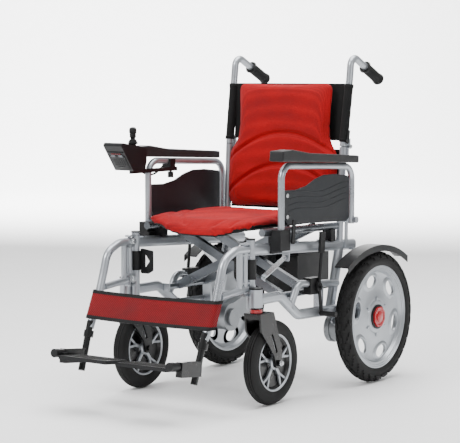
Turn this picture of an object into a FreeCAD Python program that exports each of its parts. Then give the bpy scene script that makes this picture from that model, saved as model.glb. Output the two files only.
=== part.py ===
import FreeCAD, Part
import math
import os
import re

import Sketcher
from FreeCAD import Placement, Rotation, Vector

# Folding power wheelchair.  Millimetres, +Z up, floor at z = 0, the front of the chair towards -Y,
# the occupant's left hand side towards +X.  Every y below is counted from the rear axle.
DIMS = {
    # whole chair
    "axle_y": 376, "side_x": 212, "tube_radius": 12.5, "tube_wall": 1.8, "slim_radius": 11,
    "floor_z": 0, "skin": 3,
    # driven rear wheels, 16 inch
    "wheel_x": 285, "wheel_radius": 205, "tyre_width": 54, "rim_radius": 162, "rim_width": 44,
    "hub_radius": 34, "window_radius": 19, "window_orbit": 116, "window_count": 6,
    "motor_radius": 45, "motor_y": -100, "motor_z": 175, "motor_inner_x": 190, "gear_x": 206,
    "axle_plate_x": 240.5, "axle_radius": 8,
    "cap_radius": 33, "cap_outer_x": 309, "cap_collar_radius": 30,
    # castors, 10 inch
    "stem_x": 240, "stem_y": -585, "castor_trail": 75, "castor_radius": 124.5, "castor_width": 40,
    "castor_rim_radius": 84, "castor_rim_width": 34, "castor_hub_radius": 16,
    "castor_window_radius": 17, "castor_window_orbit": 53, "castor_window_count": 5,
    "stem_radius": 7.5, "housing_radius": 19, "housing_low_z": 294, "housing_high_z": 346,
    "fork_top_z": 277, "fork_half": 29, "fork_plate": 6,
    # side frames
    "post_y": -572, "post_top_z": 486, "post_low_z": 284,
    "rail_width": 25, "rail_height": 34, "rail_front_z": 456, "rail_rear_z": 430, "rail_rear_y": -11,
    "low_rail_x": 226.5, "low_rail_width": 22, "low_rail_height": 32, "low_rail_z": 311,
    "low_rail_drop_z": 245, "low_rail_rear_y": -112,
    "loop_x": 228, "cane_x": 216, "cane_low_y": -94, "cane_hinge_z": 738, "cane_hinge_y": -77,
    "rear_post_top_y": -90, "rear_post_low_y": -150, "rear_post_low_z": 216,
    # cross brace
    "brace_x": 205, "brace_low_z": 305, "brace_high_z": 498, "bar_width": 18, "bar_height": 26,
    "bar_a_front_y": -400, "bar_a_rear_y": -262, "bar_b_front_y": -370, "bar_b_rear_y": -232,
    "sleeve_radius": 10, "pivot_radius": 6, "pivot_gap": 0.3, "link_z": 418, "link_left_y": -385,
    "link_right_y": -247, "link_thickness": 6, "link_radius": 7,
    "seat_rail_radius": 11.5, "seat_rail_front_y": -516, "seat_rail_rear_y": -110,
    "seat_rail_front_z": 502, "seat_rail_rear_z": 494.5,
    # battery hung from the cross pivot
    "battery_half": 80, "battery_front_y": -118, "battery_rear_y": 58, "battery_low_z": 280,
    "battery_high_z": 398, "tray_thickness": 5,
    # armrests
    "arm_x": 246, "arm_radius": 10, "arm_pivot_y": -76, "arm_pivot_z": 513, "arm_front_y": -466,
    "arm_top_front_z": 697, "arm_top_rear_z": 679, "arm_foot_z": 486, "socket_bore": 12.4,
    "pad_inner_x": 239, "pad_width": 48, "pad_front_y": -520, "pad_rear_y": -96,
    "panel_thickness": 4,
    # backrest
    "back_hinge_y": -61, "hinge_depth": 9.7, "grip_x": 218, "grip_radius": 15.5, "grip_start_y": 49, "grip_start_z": 983,
    "grip_end_y": 134, "grip_end_z": 943, "cane_top_y": -36, "cane_top_z": 1023, "cane_bend": 60,
    "sleeve_wall": 2.6, "sleeve_low_z": 752, "sleeve_high_z": 930,
    "sling_half": 203, "cushion_half": 190,
    # hangers and legrests
    "hanger_x": 212, "hanger_post_y": -603, "hanger_high_z": 461, "hanger_low_z": 350,
    "leg_top_y": -790, "leg_top_z": 240, "leg_low_y": -836, "leg_low_z": 100, "leg_radius": 10,
    "plate_pivot_x": 207, "plate_pivot_y": -945, "plate_pivot_z": 167, "plate_tilt": 6,
    "plate_inner_x": 20, "plate_depth": 96, "plate_thickness": 11, "knob_radius": 12.5,
    "strap_half": 226, "strap_top_z": 336, "strap_height": 90, "strap_thickness": 4,
    # seat
    "seat_half": 199.5, "seat_front_y": -548, "seat_rear_y": -140, "seat_low_z": 513,
    "seat_thickness": 24, "seat_lip_z": 470,
    # controller
    "control_x": -240, "control_half": 35, "stick_y": -548, "stick_base_z": 747, "cable_radius": 3,
}

doc = FreeCAD.newDocument("power_wheelchair")
dims = doc.addObject("Spreadsheet::Sheet", "dims")
for row, (alias, size) in enumerate(DIMS.items(), start=1):
    dims.set(f"A{row}", alias)
    dims.set(f"B{row}", str(size))
    dims.setAlias(f"B{row}", alias)
doc.recompute()

NODES = []
AXES = {
    "x": Rotation(Vector(0, 1, 0), 90),
    "y": Rotation(Vector(1, 0, 0), -90),
    "z": Rotation(),
}


# ---------------------------------------------------------------- sheet and placement helpers
def qualify(expression):
    """Write the sheet's name before each alias in an expression."""
    return re.sub(
        r"[A-Za-z_]\w*",
        lambda word: f"dims.{word[0]}" if word[0] in DIMS else word[0],
        str(expression),
    )


def number(expression):
    """The value of an expression, in millimetres or degrees."""
    found = dims.evalExpression(qualify(expression))
    return float(getattr(found, "Value", found))


def point(x, y, z):
    """A point whose y is counted from the rear axle."""
    return Vector(number(x), number(f"axle_y + ({y})"), number(z))


def put(item, at, turn=None):
    """Bind an object's base point to three expressions, y counted from the rear axle."""
    item.Placement = Placement(point(*at), turn or Rotation())
    item.setExpression("Placement.Base.x", qualify(at[0]))
    item.setExpression("Placement.Base.y", qualify(f"axle_y + ({at[1]})"))
    item.setExpression("Placement.Base.z", qualify(at[2]))
    return item


def size_of(item, **sizes):
    """Bind an object's sizes to expressions."""
    for name, expression in sizes.items():
        item.setExpression(name, qualify(expression))
    return item


def new(kind, name):
    return doc.addObject(kind, name)


def box(low, size):
    """A box from its low corner."""
    item = put(new("Part::Box", "box"), low)
    return size_of(item, Length=size[0], Width=size[1], Height=size[2])


def tilted_box(centre, size, turn):
    """A box about its centre, turned."""
    item = new("Part::Box", "tilted_box")
    half = Vector(*[number(side) / 2 for side in size])
    item.Placement = Placement(point(*centre) - turn.multVec(half), turn)
    return size_of(item, Length=size[0], Width=size[1], Height=size[2])


def rod(at, axis, radius, height, turn=None):
    """A cylinder from its start face along an axis."""
    item = put(new("Part::Cylinder", "rod"), at, turn or AXES[axis])
    return size_of(item, Radius=radius, Height=height)


def cone(at, axis, radius_start, radius_end, height):
    item = put(new("Part::Cone", "cone"), at, AXES[axis])
    return size_of(item, Radius1=radius_start, Radius2=radius_end, Height=height)


def ring(at, axis, orbit, radius):
    """A torus."""
    item = put(new("Part::Torus", "ring"), at, AXES[axis])
    return size_of(item, Radius1=orbit, Radius2=radius)


def bar_between(start, end, radius):
    """A round bar between two points."""
    low, high = point(*start), point(*end)
    turn = Rotation(Vector(0, 0, 1), high - low)
    item = rod(start, "z", radius, 1, turn)
    item.setExpression("Height", None)
    item.Height = (high - low).Length
    return item


def fuse(*items):
    item = new("Part::MultiFuse", "fuse")
    item.Shapes = list(items)
    item.Refine = False
    return item


def cut(base, *tools):
    item = new("Part::Cut", "cut")
    item.Base = base
    item.Tool = tools[0] if len(tools) == 1 else fuse(*tools)
    item.Refine = False
    return item


def mirror(source):
    """The same object on the other side of the chair."""
    item = new("Part::Mirroring", "mirror")
    item.Source = source
    item.Normal = Vector(1, 0, 0)
    return item


def node(name, item):
    """Name a finished sub-part."""
    item.Label = name
    NODES.append(item)
    return item


def pair(name, item):
    """A sub-part on the left and its mirror image on the right."""
    node(f"{name}_left", item)
    node(f"{name}_right", mirror(item))
    return item


# ---------------------------------------------------------------- bent tubes
def path(points, bend, name=None):
    """Straight runs joined by tangent arcs of one radius, or less where the runs are short."""
    spots = [point(*spot) for spot in points]
    edges, start = [], spots[0]
    for before, corner, after in zip(spots, spots[1:], spots[2:]):
        back = (before - corner).normalize()
        ahead = (after - corner).normalize()
        half = back.getAngle(ahead) / 2
        reach = min(
            number(bend) / math.tan(half),
            0.45 * (before - corner).Length,
            0.45 * (after - corner).Length,
        )
        radius = reach * math.tan(half)
        if name:
            print(f"{name} bend radius {radius:.1f}")
        first, last = corner + back * reach, corner + ahead * reach
        inward = (back + ahead).normalize()
        middle = corner + inward * (radius / math.sin(half) - radius)
        edges.append(Part.LineSegment(start, first).toShape())
        edges.append(Part.Arc(first, middle, last).toShape())
        start = last
    edges.append(Part.LineSegment(start, spots[-1]).toShape())
    item = new("Part::Feature", "path")
    item.Shape = Part.Wire(edges)
    return item


def sweep(profile, route):
    item = new("Part::Sweep", "sweep")
    item.Sections = [profile]
    item.Spine = (route, [f"Edge{n + 1}" for n in range(len(route.Shape.Edges))])
    item.Solid = True
    return item


def tube(points, radius, bend="60", name=None):
    """A round bar along a route."""
    route = path(points, bend, name)
    start = route.Shape.Edges[0]
    profile = new("Part::Circle", "profile")
    ahead = start.tangentAt(start.FirstParameter)
    profile.Placement = Placement(point(*points[0]), Rotation(Vector(0, 0, 1), ahead))
    size_of(profile, Radius=radius)
    return sweep(profile, route)


def flat_oval(points, width, height, bend="40"):
    """A bar of flat oval section along a route in a fore and aft plane."""
    route = path(points, bend)
    start = route.Shape.Edges[0]
    ahead = start.tangentAt(start.FirstParameter)
    across = Vector(1, 0, 0)
    up = across.cross(ahead).normalize()
    if up.z < 0:
        up = up * -1
    radius = number(width) / 2
    straight = number(height) / 2 - radius
    centre = point(*points[0])
    corners = [
        centre + across * radius * side + up * straight * level
        for side, level in ((1, -1), (1, 1), (-1, 1), (-1, -1))
    ]
    crown = centre + up * (straight + radius)
    sole = centre - up * (straight + radius)
    profile = new("Part::Feature", "oval_profile")
    profile.Shape = Part.Wire([
        Part.LineSegment(corners[0], corners[1]).toShape(),
        Part.Arc(corners[1], crown, corners[2]).toShape(),
        Part.LineSegment(corners[2], corners[3]).toShape(),
        Part.Arc(corners[3], sole, corners[0]).toShape(),
    ])
    return sweep(profile, route)


def ring_tube(start, end, radius, bore):
    """A straight tube between two points."""
    return cut(bar_between(start, end, radius), bar_between(start, end, bore))


# ---------------------------------------------------------------- sketched bodies
PLANES = {"side": "YZ_Plane", "floor": "XY_Plane", "front": "XZ_Plane"}


def new_sketch(body, plane):
    origin = [p for p in body.Origin.OriginFeatures if p.Role == PLANES[plane]][0]
    sketch = body.newObject("Sketcher::SketchObject", "outline")
    sketch.AttachmentSupport = [(origin, "")]
    sketch.MapMode = "FlatFace"
    return sketch


def closed_outline(sketch, corners):
    """A closed chain of lines through corners, each bound to its two expressions."""
    spots = [Vector(number(a), number(b), 0) for a, b in corners]
    count = len(spots)
    for n, spot in enumerate(spots):
        sketch.addGeometry(Part.LineSegment(spot, spots[(n + 1) % count]), False)
    for n in range(count):
        sketch.addConstraint(Sketcher.Constraint("Coincident", n, 2, (n + 1) % count, 1))
    for n, (a, b) in enumerate(corners):
        for kind, expression in (("DistanceX", a), ("DistanceY", b)):
            index = sketch.addConstraint(Sketcher.Constraint(kind, -1, 1, n, 1, number(expression)))
            sketch.setExpression(f"Constraints[{index}]", qualify(expression))


def plate(corners, plane, thickness, at, soft="0"):
    """A pad of an outline in a plane, its upright edges rounded, moved to a place."""
    body = new("PartDesign::Body", "body")
    sketch = new_sketch(body, plane)
    closed_outline(sketch, corners)
    pad = body.newObject("PartDesign::Pad", "pad")
    pad.Profile = sketch
    pad.Midplane = True
    pad.setExpression("Length", qualify(thickness))
    doc.recompute()
    if number(soft) > 0:
        normal = {"side": Vector(1, 0, 0), "floor": Vector(0, 0, 1), "front": Vector(0, 1, 0)}[plane]
        upright = [
            f"Edge{n + 1}"
            for n, edge in enumerate(pad.Shape.Edges)
            if abs(edge.tangentAt(edge.FirstParameter).dot(normal)) > 0.99
        ]
        fillet = body.newObject("PartDesign::Fillet", "fillet")
        fillet.Base = (pad, upright)
        fillet.setExpression("Radius", qualify(soft))
        body.Tip = fillet
    return put(body, at)


def turned(corners, at):
    """A body turned about a left to right axle from a half section of (across, radius)."""
    body = new("PartDesign::Body", "body")
    sketch = new_sketch(body, "front")
    closed_outline(sketch, corners)
    turn = body.newObject("PartDesign::Revolution", "revolution")
    turn.Profile = sketch
    turn.ReferenceAxis = (sketch, ["H_Axis"])
    turn.Angle = 360
    body.Tip = turn
    doc.recompute()
    return put(body, at)


def windowed_rim(half_section, at, orbit, radius, count):
    """A turned wheel disc with round windows in a polar pattern."""
    body = turned(half_section, at)
    sketch = new_sketch(body, "side")
    circle = Part.Circle(Vector(0, number(orbit), 0), Vector(0, 0, 1), number(radius))
    sketch.addGeometry(circle, False)
    sketch.addConstraint(Sketcher.Constraint("PointOnObject", 0, 3, -2))
    for kind, ends, expression in (
        ("DistanceY", (-1, 1, 0, 3), orbit),
        ("Radius", (0,), radius),
    ):
        index = sketch.addConstraint(Sketcher.Constraint(kind, *ends, number(expression)))
        sketch.setExpression(f"Constraints[{index}]", qualify(expression))
    pocket = body.newObject("PartDesign::Pocket", "window")
    pocket.Profile = sketch
    pocket.Midplane = True
    pocket.Type = "Length"
    pocket.Length = 30
    doc.recompute()
    pattern = body.newObject("PartDesign::PolarPattern", "windows")
    pattern.Originals = [pocket]
    axis = [p for p in body.Origin.OriginFeatures if p.Role == "X_Axis"][0]
    pattern.Axis = (axis, [""])
    pattern.Angle = 360
    pattern.setExpression("Occurrences", qualify(count))
    body.Tip = pattern
    doc.recompute()
    return body


# ---------------------------------------------------------------- rear wheels, motors and guards
def rear_wheels():
    """Tyre, pressed rim with windows, hub cap, motor and mudguard on each side."""
    centre = ("wheel_x", "0", "wheel_radius")
    carcass = ring(centre, "x", "wheel_radius - tyre_width / 2", "tyre_width / 2")
    bead = rod(("wheel_x - rim_width / 2", "0", "wheel_radius"), "x", "rim_radius", "rim_width")
    pair("wheel_tyre", cut(carcass, bead))
    rim = windowed_rim(
        [
            ("-rim_width / 2 + 2", "rim_radius - 14"), ("-rim_width / 2 + 2", "rim_radius - 0.2"),
            ("rim_width / 2 - 2", "rim_radius - 0.2"), ("rim_width / 2 - 2", "rim_radius - 14"),
            ("6", "rim_radius - 26"), ("6", "hub_radius + 20"), ("10", "hub_radius"),
            ("10", "axle_radius + 4"), ("-24", "axle_radius + 4"), ("-24", "hub_radius"),
            ("1", "hub_radius + 10"), ("1", "rim_radius - 24"),
        ],
        centre, "window_orbit", "window_radius", "window_count",
    )
    pair("wheel_rim", rim)
    collar = rod(("wheel_x + 10.2", "0", "wheel_radius"), "x", "cap_collar_radius", "6")
    crown = rod(("wheel_x + 15", "0", "wheel_radius"), "x", "cap_radius", "cap_outer_x - wheel_x - 15")
    pair("hub_cap", fuse(collar, crown))
    can = rod(("motor_inner_x", "motor_y", "motor_z"), "x", "motor_radius", "gear_x - motor_inner_x + 1")
    nose = rod(("motor_inner_x - 10", "motor_y", "motor_z"), "x", "motor_radius - 17", "11")
    gear_width = "axle_plate_x - 3.3 - gear_x"
    gear_lobes = [
        rod(("gear_x", y, z), "x", radius, gear_width)
        for y, z, radius in (("motor_y", "motor_z", "motor_radius - 3"), ("0", "wheel_radius", "32"))
    ]
    lean = math.degrees(math.atan2(number("wheel_radius - motor_z"), number("-motor_y")))
    neck = tilted_box(
        ("(gear_x + axle_plate_x - 3.3) / 2", "motor_y / 2", "(wheel_radius + motor_z) / 2"),
        (gear_width, "-motor_y", "62"), Rotation(Vector(1, 0, 0), lean),
    )
    spindle = rod(("axle_plate_x - 5", "0", "wheel_radius"), "x", "axle_radius",
                  "wheel_x - axle_plate_x + 14")
    pair("drive_motor", fuse(can, nose, *gear_lobes, neck, spindle))
    guard_outer = rod(("262", "-12", "88"), "x", "344", "50")
    guard_inner = rod(("261", "-12", "88"), "x", "340.5", "52")
    window = box(("260", "-196", "330"), ("54", "359", "120"))
    shell = cut(guard_outer, guard_inner)
    strip = new("Part::Common", "guard_strip")
    strip.Base = shell
    strip.Tool = window
    web_disc = rod(("309", "-12", "88"), "x", "344", "3")
    web_core = rod(("308", "-12", "72"), "x", "340", "5")
    web = new("Part::Common", "guard_web")
    web.Base = cut(web_disc, web_core)
    web.Tool = box(("300", "-196", "330"), ("20", "359", "120"))
    pair("mudguard", fuse(strip, web))


# ---------------------------------------------------------------- castors
def castors():
    """Fork with its stem, tyre and five window rim on each side."""
    axle_y = "stem_y + castor_trail"
    centre = ("stem_x", axle_y, "castor_radius")
    carcass = ring(centre, "x", "castor_radius - castor_width / 2", "castor_width / 2")
    bead = rod(
        ("stem_x - castor_rim_width / 2", axle_y, "castor_radius"), "x",
        "castor_rim_radius + 4", "castor_rim_width",
    )
    pair("castor_tyre", cut(carcass, bead))
    rim = windowed_rim(
        [
            ("-castor_rim_width / 2 + 2", "castor_rim_radius - 6"),
            ("-castor_rim_width / 2 + 2", "castor_rim_radius + 3.8"),
            ("castor_rim_width / 2 - 2", "castor_rim_radius + 3.8"),
            ("castor_rim_width / 2 - 2", "castor_rim_radius - 6"),
            ("5", "castor_rim_radius - 12"), ("5", "castor_hub_radius + 4"),
            ("18", "castor_hub_radius"), ("18", "6.3"), ("-18", "6.3"), ("-18", "castor_hub_radius"),
            ("-5", "castor_hub_radius + 4"), ("-5", "castor_rim_radius - 12"),
        ],
        centre, "castor_window_orbit", "castor_window_radius", "castor_window_count",
    )
    pair("castor_rim", rim)
    crown = box(
        ("stem_x - fork_half", "stem_y - 20", "fork_top_z - 16"), ("2 * fork_half", "70", "16")
    )
    legs = []
    for side in ("-1", "1"):
        leg = plate(
            [
                ("-20", "fork_top_z - 1"), ("50", "fork_top_z - 1"), ("castor_trail + 17", "160"),
                ("castor_trail + 15", "castor_radius - 14"), ("castor_trail - 13", "castor_radius - 14"),
                ("castor_trail - 24", "150"), ("-14", "224"),
            ],
            "side", "fork_plate",
            (f"stem_x + ({side}) * (fork_half - fork_plate / 2)", "stem_y", "0"), "8",
        )
        slot = tilted_box(
            (f"stem_x + ({side}) * (fork_half - fork_plate / 2)", "stem_y + 52", "185"),
            ("fork_plate + 2", "9", "62"), Rotation(Vector(1, 0, 0), 24),
        )
        legs.append(cut(leg, slot))
    stem = rod(("stem_x", "stem_y", "fork_top_z - 2"), "z", "stem_radius", "58")
    seal = rod(("stem_x", "stem_y", "fork_top_z - 1"), "z", "13", "13")
    bolt = rod(("stem_x - fork_half - 6", axle_y, "castor_radius"), "x", "6", "2 * fork_half + 12")
    heads = [
        rod((f"stem_x + ({x})", axle_y, "castor_radius"), "x", "9", "6")
        for x in ("-fork_half - 6", "fork_half")
    ]
    pair("castor_fork", fuse(crown, *legs, stem, seal, bolt, *heads))


# ---------------------------------------------------------------- side frames
def rail_z(y):
    """Centre height of the upper rail at a place along it."""
    slope = "(rail_rear_z - rail_front_z) / (rail_rear_y + 548)"
    return f"rail_front_z + {slope} * (({y}) + 548)"


def seat_rail_z(y):
    """Centre height of the seat rail at a place along it."""
    slope = "(seat_rail_rear_z - seat_rail_front_z) / (seat_rail_rear_y - seat_rail_front_y)"
    return f"seat_rail_front_z + {slope} * (({y}) - seat_rail_front_y)"


def link_tab(side, y):
    """Pierced ear under the upper rail that holds the folding link."""
    corners = [
        ("-11", "-11"), ("11", "-11"), ("13", "22"), ("-13", "22"),
    ]
    ear = plate(corners, "front", "4", (f"({side}) * brace_x", f"({y}) + 7", "link_z"), "3")
    pin = rod((f"({side}) * brace_x", f"({y}) - 5", "link_z"), "y", "4", "12")
    return fuse(ear, pin)


def side_frames():
    """Welded side frames; the right one mirrors the left apart from its link ear."""
    x = "side_x"
    low_x = "low_rail_x"
    upper = flat_oval([(x, "post_y", rail_z("post_y")), (x, "rail_rear_y", "rail_rear_z")],
                      "rail_width", "rail_height")
    upper_bore = flat_oval([(x, "post_y", rail_z("post_y")), (x, "rail_rear_y", "rail_rear_z")],
                           "rail_width - 2 * tube_wall", "rail_height - 2 * tube_wall")
    low_route = [
        (low_x, "stem_y + 12", "low_rail_z"), (low_x, "-444", "low_rail_z"),
        (low_x, "-348", "low_rail_drop_z"), (low_x, "low_rail_rear_y", "low_rail_drop_z - 8"),
    ]
    lower = flat_oval(low_route, "low_rail_width", "low_rail_height", "45")
    lower_bore = flat_oval(
        low_route, "low_rail_width - 2 * tube_wall", "low_rail_height - 2 * tube_wall", "45"
    )
    post = rod((x, "post_y", "post_low_z"), "z", "tube_radius", "post_top_z - post_low_z")
    post_bore = rod((x, "post_y", "post_low_z"), "z", "tube_radius - tube_wall",
                    "post_top_z - post_low_z")
    housing = rod(("stem_x", "stem_y", "housing_low_z"), "z", "housing_radius",
                  "housing_high_z - housing_low_z")
    housing_bore = rod(("stem_x", "stem_y", "housing_low_z - 1"), "z", "stem_radius + 0.3",
                       "44")
    rear_post_route = [(x, "rear_post_top_y", "rail_rear_z"),
                       (x, "rear_post_low_y", "rear_post_low_z")]
    rear_post = flat_oval(rear_post_route, "22", "36")
    rear_post_bore = flat_oval(rear_post_route, "22 - 2 * tube_wall", "36 - 2 * tube_wall")
    loop_route = [("loop_x", "-392", "268"), ("loop_x", "-350", "338"), ("loop_x", "-262", "330"),
                  ("loop_x - 8", "-118", "318")]
    loop = tube(loop_route, "slim_radius", "34")
    loop_bore = tube(loop_route, "slim_radius - tube_wall", "34")
    cane_route = [("cane_x - 2", "cane_low_y", "438"), ("cane_x", "cane_hinge_y", "cane_hinge_z - 1")]
    cane = bar_between(*cane_route, "slim_radius")
    cane_bore = bar_between(*cane_route, "slim_radius - tube_wall")
    axle_plate = plate(
        [("-182", "205"), ("-140", "258"), ("-96", "262"), ("26", "240"), ("44", "205"),
         ("26", "166"), ("-40", "160"), ("-150", "186")],
        "side", "6", ("axle_plate_x", "0", "0"), "6",
    )
    plate_hole = rod(("axle_plate_x - 7", "0", "wheel_radius"), "x", "axle_radius + 0.3", "14")
    spacer = rod(("side_x", "-142", "236"), "x", "12", "axle_plate_x - side_x")
    guard_stay = fuse(
        box(("side_x", "-44", "rail_rear_z - 14.5"), ("56", "16", "4")),
        box(("262", "-44", "rail_rear_z - 14.5"), ("6", "16", "11")),
    )
    hinge_ears = [
        box(("brace_x - 10", y, z), ("22 + 9", "8", height))
        for y, z, height in (("-431", "brace_low_z - 12", "24"), ("-211", "232", "86"))
    ]
    hinge_pin = rod(("brace_x", "-424", "brace_low_z"), "y", "pivot_radius", "214")
    arm_stay = box(("arm_x - 19.5", "arm_pivot_y - 8", "rail_rear_z"), ("3.5", "16", "98"))
    arm_stay_foot = box(("side_x", "arm_pivot_y - 8", "rail_rear_z - 6"), ("18", "16", "12"))
    arm_pin = rod(("arm_x - 24", "arm_pivot_y", "arm_pivot_z"), "x", "5", "45")
    arm_pin_heads = [
        rod((f"arm_x {x0}", "arm_pivot_y", "arm_pivot_z"), "x", "10", "7") for x0 in ("- 27", "+ 14")
    ]
    hanger_lugs = [
        box(("hanger_x - 9", "hanger_post_y - 9", z), ("18", "36", "5"))
        for z in ("hanger_high_z + 14", "hanger_low_z - 24")
    ]
    hanger_pins = [
        rod(("hanger_x", "hanger_post_y", z), "z", "5", "18")
        for z in ("hanger_high_z - 3", "hanger_low_z - 20")
    ]
    bolts = [
        rod((x, y, z), "z", "6", "4")
        for y, z in (("-330", rail_z("-330") + " + rail_height / 2 - 1"),
                     ("-210", rail_z("-210") + " + rail_height / 2 - 1"))
    ]
    hinge_lug = box(("cane_x - 12", "cane_hinge_y + 6", "cane_hinge_z - 26"), ("24", "hinge_depth", "25"))
    solid = fuse(upper, lower, post, housing, rear_post, loop, cane, axle_plate, spacer,
                 *hinge_ears, hinge_pin, arm_stay, arm_stay_foot, arm_pin, *arm_pin_heads,
                 *hanger_lugs, *hanger_pins, *bolts, hinge_lug, guard_stay)
    pivot_bore = rod(("cane_x - 13", "back_hinge_y", "cane_hinge_z"), "x", "3.3", "26")
    common = solid
    for bore in (upper_bore, lower_bore, post_bore, housing_bore, rear_post_bore, loop_bore,
                 cane_bore, plate_hole, pivot_bore):
        common = cut(common, bore)
    node("side_frame_left", fuse(common, link_tab("1", "link_left_y")))
    node("side_frame_right", fuse(mirror(common), link_tab("-1", "link_right_y")))
    post_cap = fuse(
        rod((x, "post_y", "post_top_z"), "z", "tube_radius + 0.8", "4"),
        rod((x, "post_y", "post_top_z - 12"), "z", "tube_radius - tube_wall", "12"),
    )
    housing_cap = cut(
        rod(("stem_x", "stem_y", "housing_high_z"), "z", "housing_radius + 0.5", "4"),
        rod((x, "post_y", "housing_high_z - 1"), "z", "tube_radius + 0.2", "6"),
    )
    saddles = []
    for y in ("-446", "-150"):
        block = box((f"{x} - 16", f"({y}) - 13", rail_z(y) + " + rail_height / 2 - 4"),
                    ("32", "26", "38"))
        groove = rod((x, f"({y}) - 14", seat_rail_z(y)), "y", "seat_rail_radius + 0.8", "28")
        mouth = box((f"{x} - seat_rail_radius - 0.8", f"({y}) - 14", seat_rail_z(y)),
                    ("2 * seat_rail_radius + 1.6", "28", "30"))
        seat = flat_oval([(x, f"({y}) - 20", rail_z(f"({y}) - 20")),
                          (x, f"({y}) + 20", rail_z(f"({y}) + 20"))],
                         "rail_width + 0.2", "rail_height + 0.2")
        saddles.append(cut(block, groove, mouth, seat))
    brake_block = box(("loop_x - 12", "-300", "300"), ("26", "56", "50"))
    brake_hole = tube(loop_route, "slim_radius + 0.15", "34")
    brake_pin = rod(("loop_x + 13", "-262", "322"), "x", "5", "17")
    brake_bracket = fuse(cut(brake_block, brake_hole), brake_pin)
    pair("frame_fittings", fuse(post_cap, housing_cap, *saddles, brake_bracket))


# ---------------------------------------------------------------- parking brakes
def brakes():
    """Over centre lever with its shoe on each side."""
    x = "loop_x"
    hub = rod((f"{x} + 15", "-262", "322"), "x", "14", "8")
    arm = bar_between((f"{x} + 20", "-262", "322"), (f"{x} + 20", "-250", "425"), "5")
    handle = tilted_box((f"{x} + 20", "-247", "456"), ("8", "25", "64"),
                        Rotation(Vector(1, 0, 0), -4))
    tail = bar_between((f"{x} + 20", "-262", "322"), (f"{x} + 20", "-248", "238"), "5")
    shoe = rod((f"{x} + 18", "-250", "240"), "x", "8", "56")
    bore = rod((f"{x} + 12", "-262", "322"), "x", "5.3", "20")
    pair("brake_lever", cut(fuse(hub, arm, handle, tail, shoe), bore))


# ---------------------------------------------------------------- cross brace and links
def brace_arm(side, bars_y):
    """One arm of the cross brace: two bars, a pivot sleeve and a seat rail.

    The arm rises from the pivot on its own side (side = 1 is the left) to the other side's rail.
    """
    run, rise = number("2 * brace_x"), number("brace_high_z - brace_low_z")
    length = math.hypot(run, rise)
    slope = math.degrees(math.atan2(rise, run))
    parts = []
    for y in bars_y:
        turn = Rotation(Vector(0, 1, 0), side * slope)
        middle = ("0", y, "(brace_low_z + brace_high_z) / 2")
        bar = new("Part::Box", "bar")
        half = Vector(length / 2, number("bar_width") / 2, number("bar_height") / 2)
        reach_right, reach_left = (8, -6) if side > 0 else (-6, 8)
        corner = half + Vector(reach_right, 0, 0)
        bar.Placement = Placement(point(*middle) - turn.multVec(corner), turn)
        bar.Length = 2 * half.x + reach_right + reach_left
        size_of(bar, Width="bar_width", Height="bar_height")
        parts.append(bar)
    sleeve = rod((f"{side} * brace_x", "-422", "brace_low_z"), "y", "sleeve_radius", "210")
    rail_x = f"{-side} * side_x"
    rail = bar_between(
        (rail_x, "seat_rail_front_y", "seat_rail_front_z"),
        (rail_x, "seat_rail_rear_y", "seat_rail_rear_z"), "seat_rail_radius",
    )
    sleeve_bore = rod((f"{side} * brace_x", "-423", "brace_low_z"), "y",
                      "pivot_radius + pivot_gap", "212")
    return fuse(*parts, sleeve, rail), sleeve_bore


def cross_brace():
    """Two crossing arms, the pivot bolt that joins them, and the two folding links."""
    solid_a, bore_a = brace_arm(1, ("bar_a_front_y", "bar_a_rear_y"))
    solid_b, bore_b = brace_arm(-1, ("bar_b_front_y", "bar_b_rear_y"))
    centre_z = "(brace_low_z + brace_high_z) / 2"
    bolt = rod(("0", "bar_a_front_y - 16", centre_z), "y", "pivot_radius", "290")
    head = rod(("0", "bar_a_front_y - 17", centre_z), "y", "11", "8.2")
    nut = rod(("0", "-130", centre_z), "y", "11", "7")
    bolt_bore = rod(("0", "bar_a_front_y - 20", centre_z), "y", "pivot_radius + pivot_gap", "300")
    arm_a = cut(solid_a, bore_a)
    node("brace_arm_a", fuse(arm_a, bolt, head, nut))
    node("brace_arm_b", cut(solid_b, bore_b, bolt_bore))
    angle = 2 * math.atan2(number("brace_high_z - brace_low_z"), number("2 * brace_x"))
    reach = number("link_z - brace_low_z")
    for name, side, y in (("left", 1, "link_left_y"), ("right", -1, "link_right_y")):
        foot = (
            f"{side} * (brace_x - {reach * math.sin(angle):.3f})", y,
            f"link_z - {reach * math.cos(angle):.3f}",
        )
        top = (f"{side} * brace_x", y, "link_z")
        middle = tuple(f"(({a}) + ({b})) / 2" for a, b in zip(top, foot))
        turn = Rotation(Vector(0, 1, 0), side * (90 - math.degrees(angle)) * -1)
        strap = tilted_box(middle, (f"{reach:.3f}", "link_thickness", "2 * link_radius"), turn)
        ends = [
            rod((spot[0], f"({y}) - link_thickness / 2", spot[2]), "y", "link_radius",
                "link_thickness")
            for spot in (top, foot)
        ]
        hole = rod((top[0], f"({y}) - 6", top[2]), "y", "4.3", "12")
        node(f"fold_link_{name}", cut(fuse(strap, *ends), hole))


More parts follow.
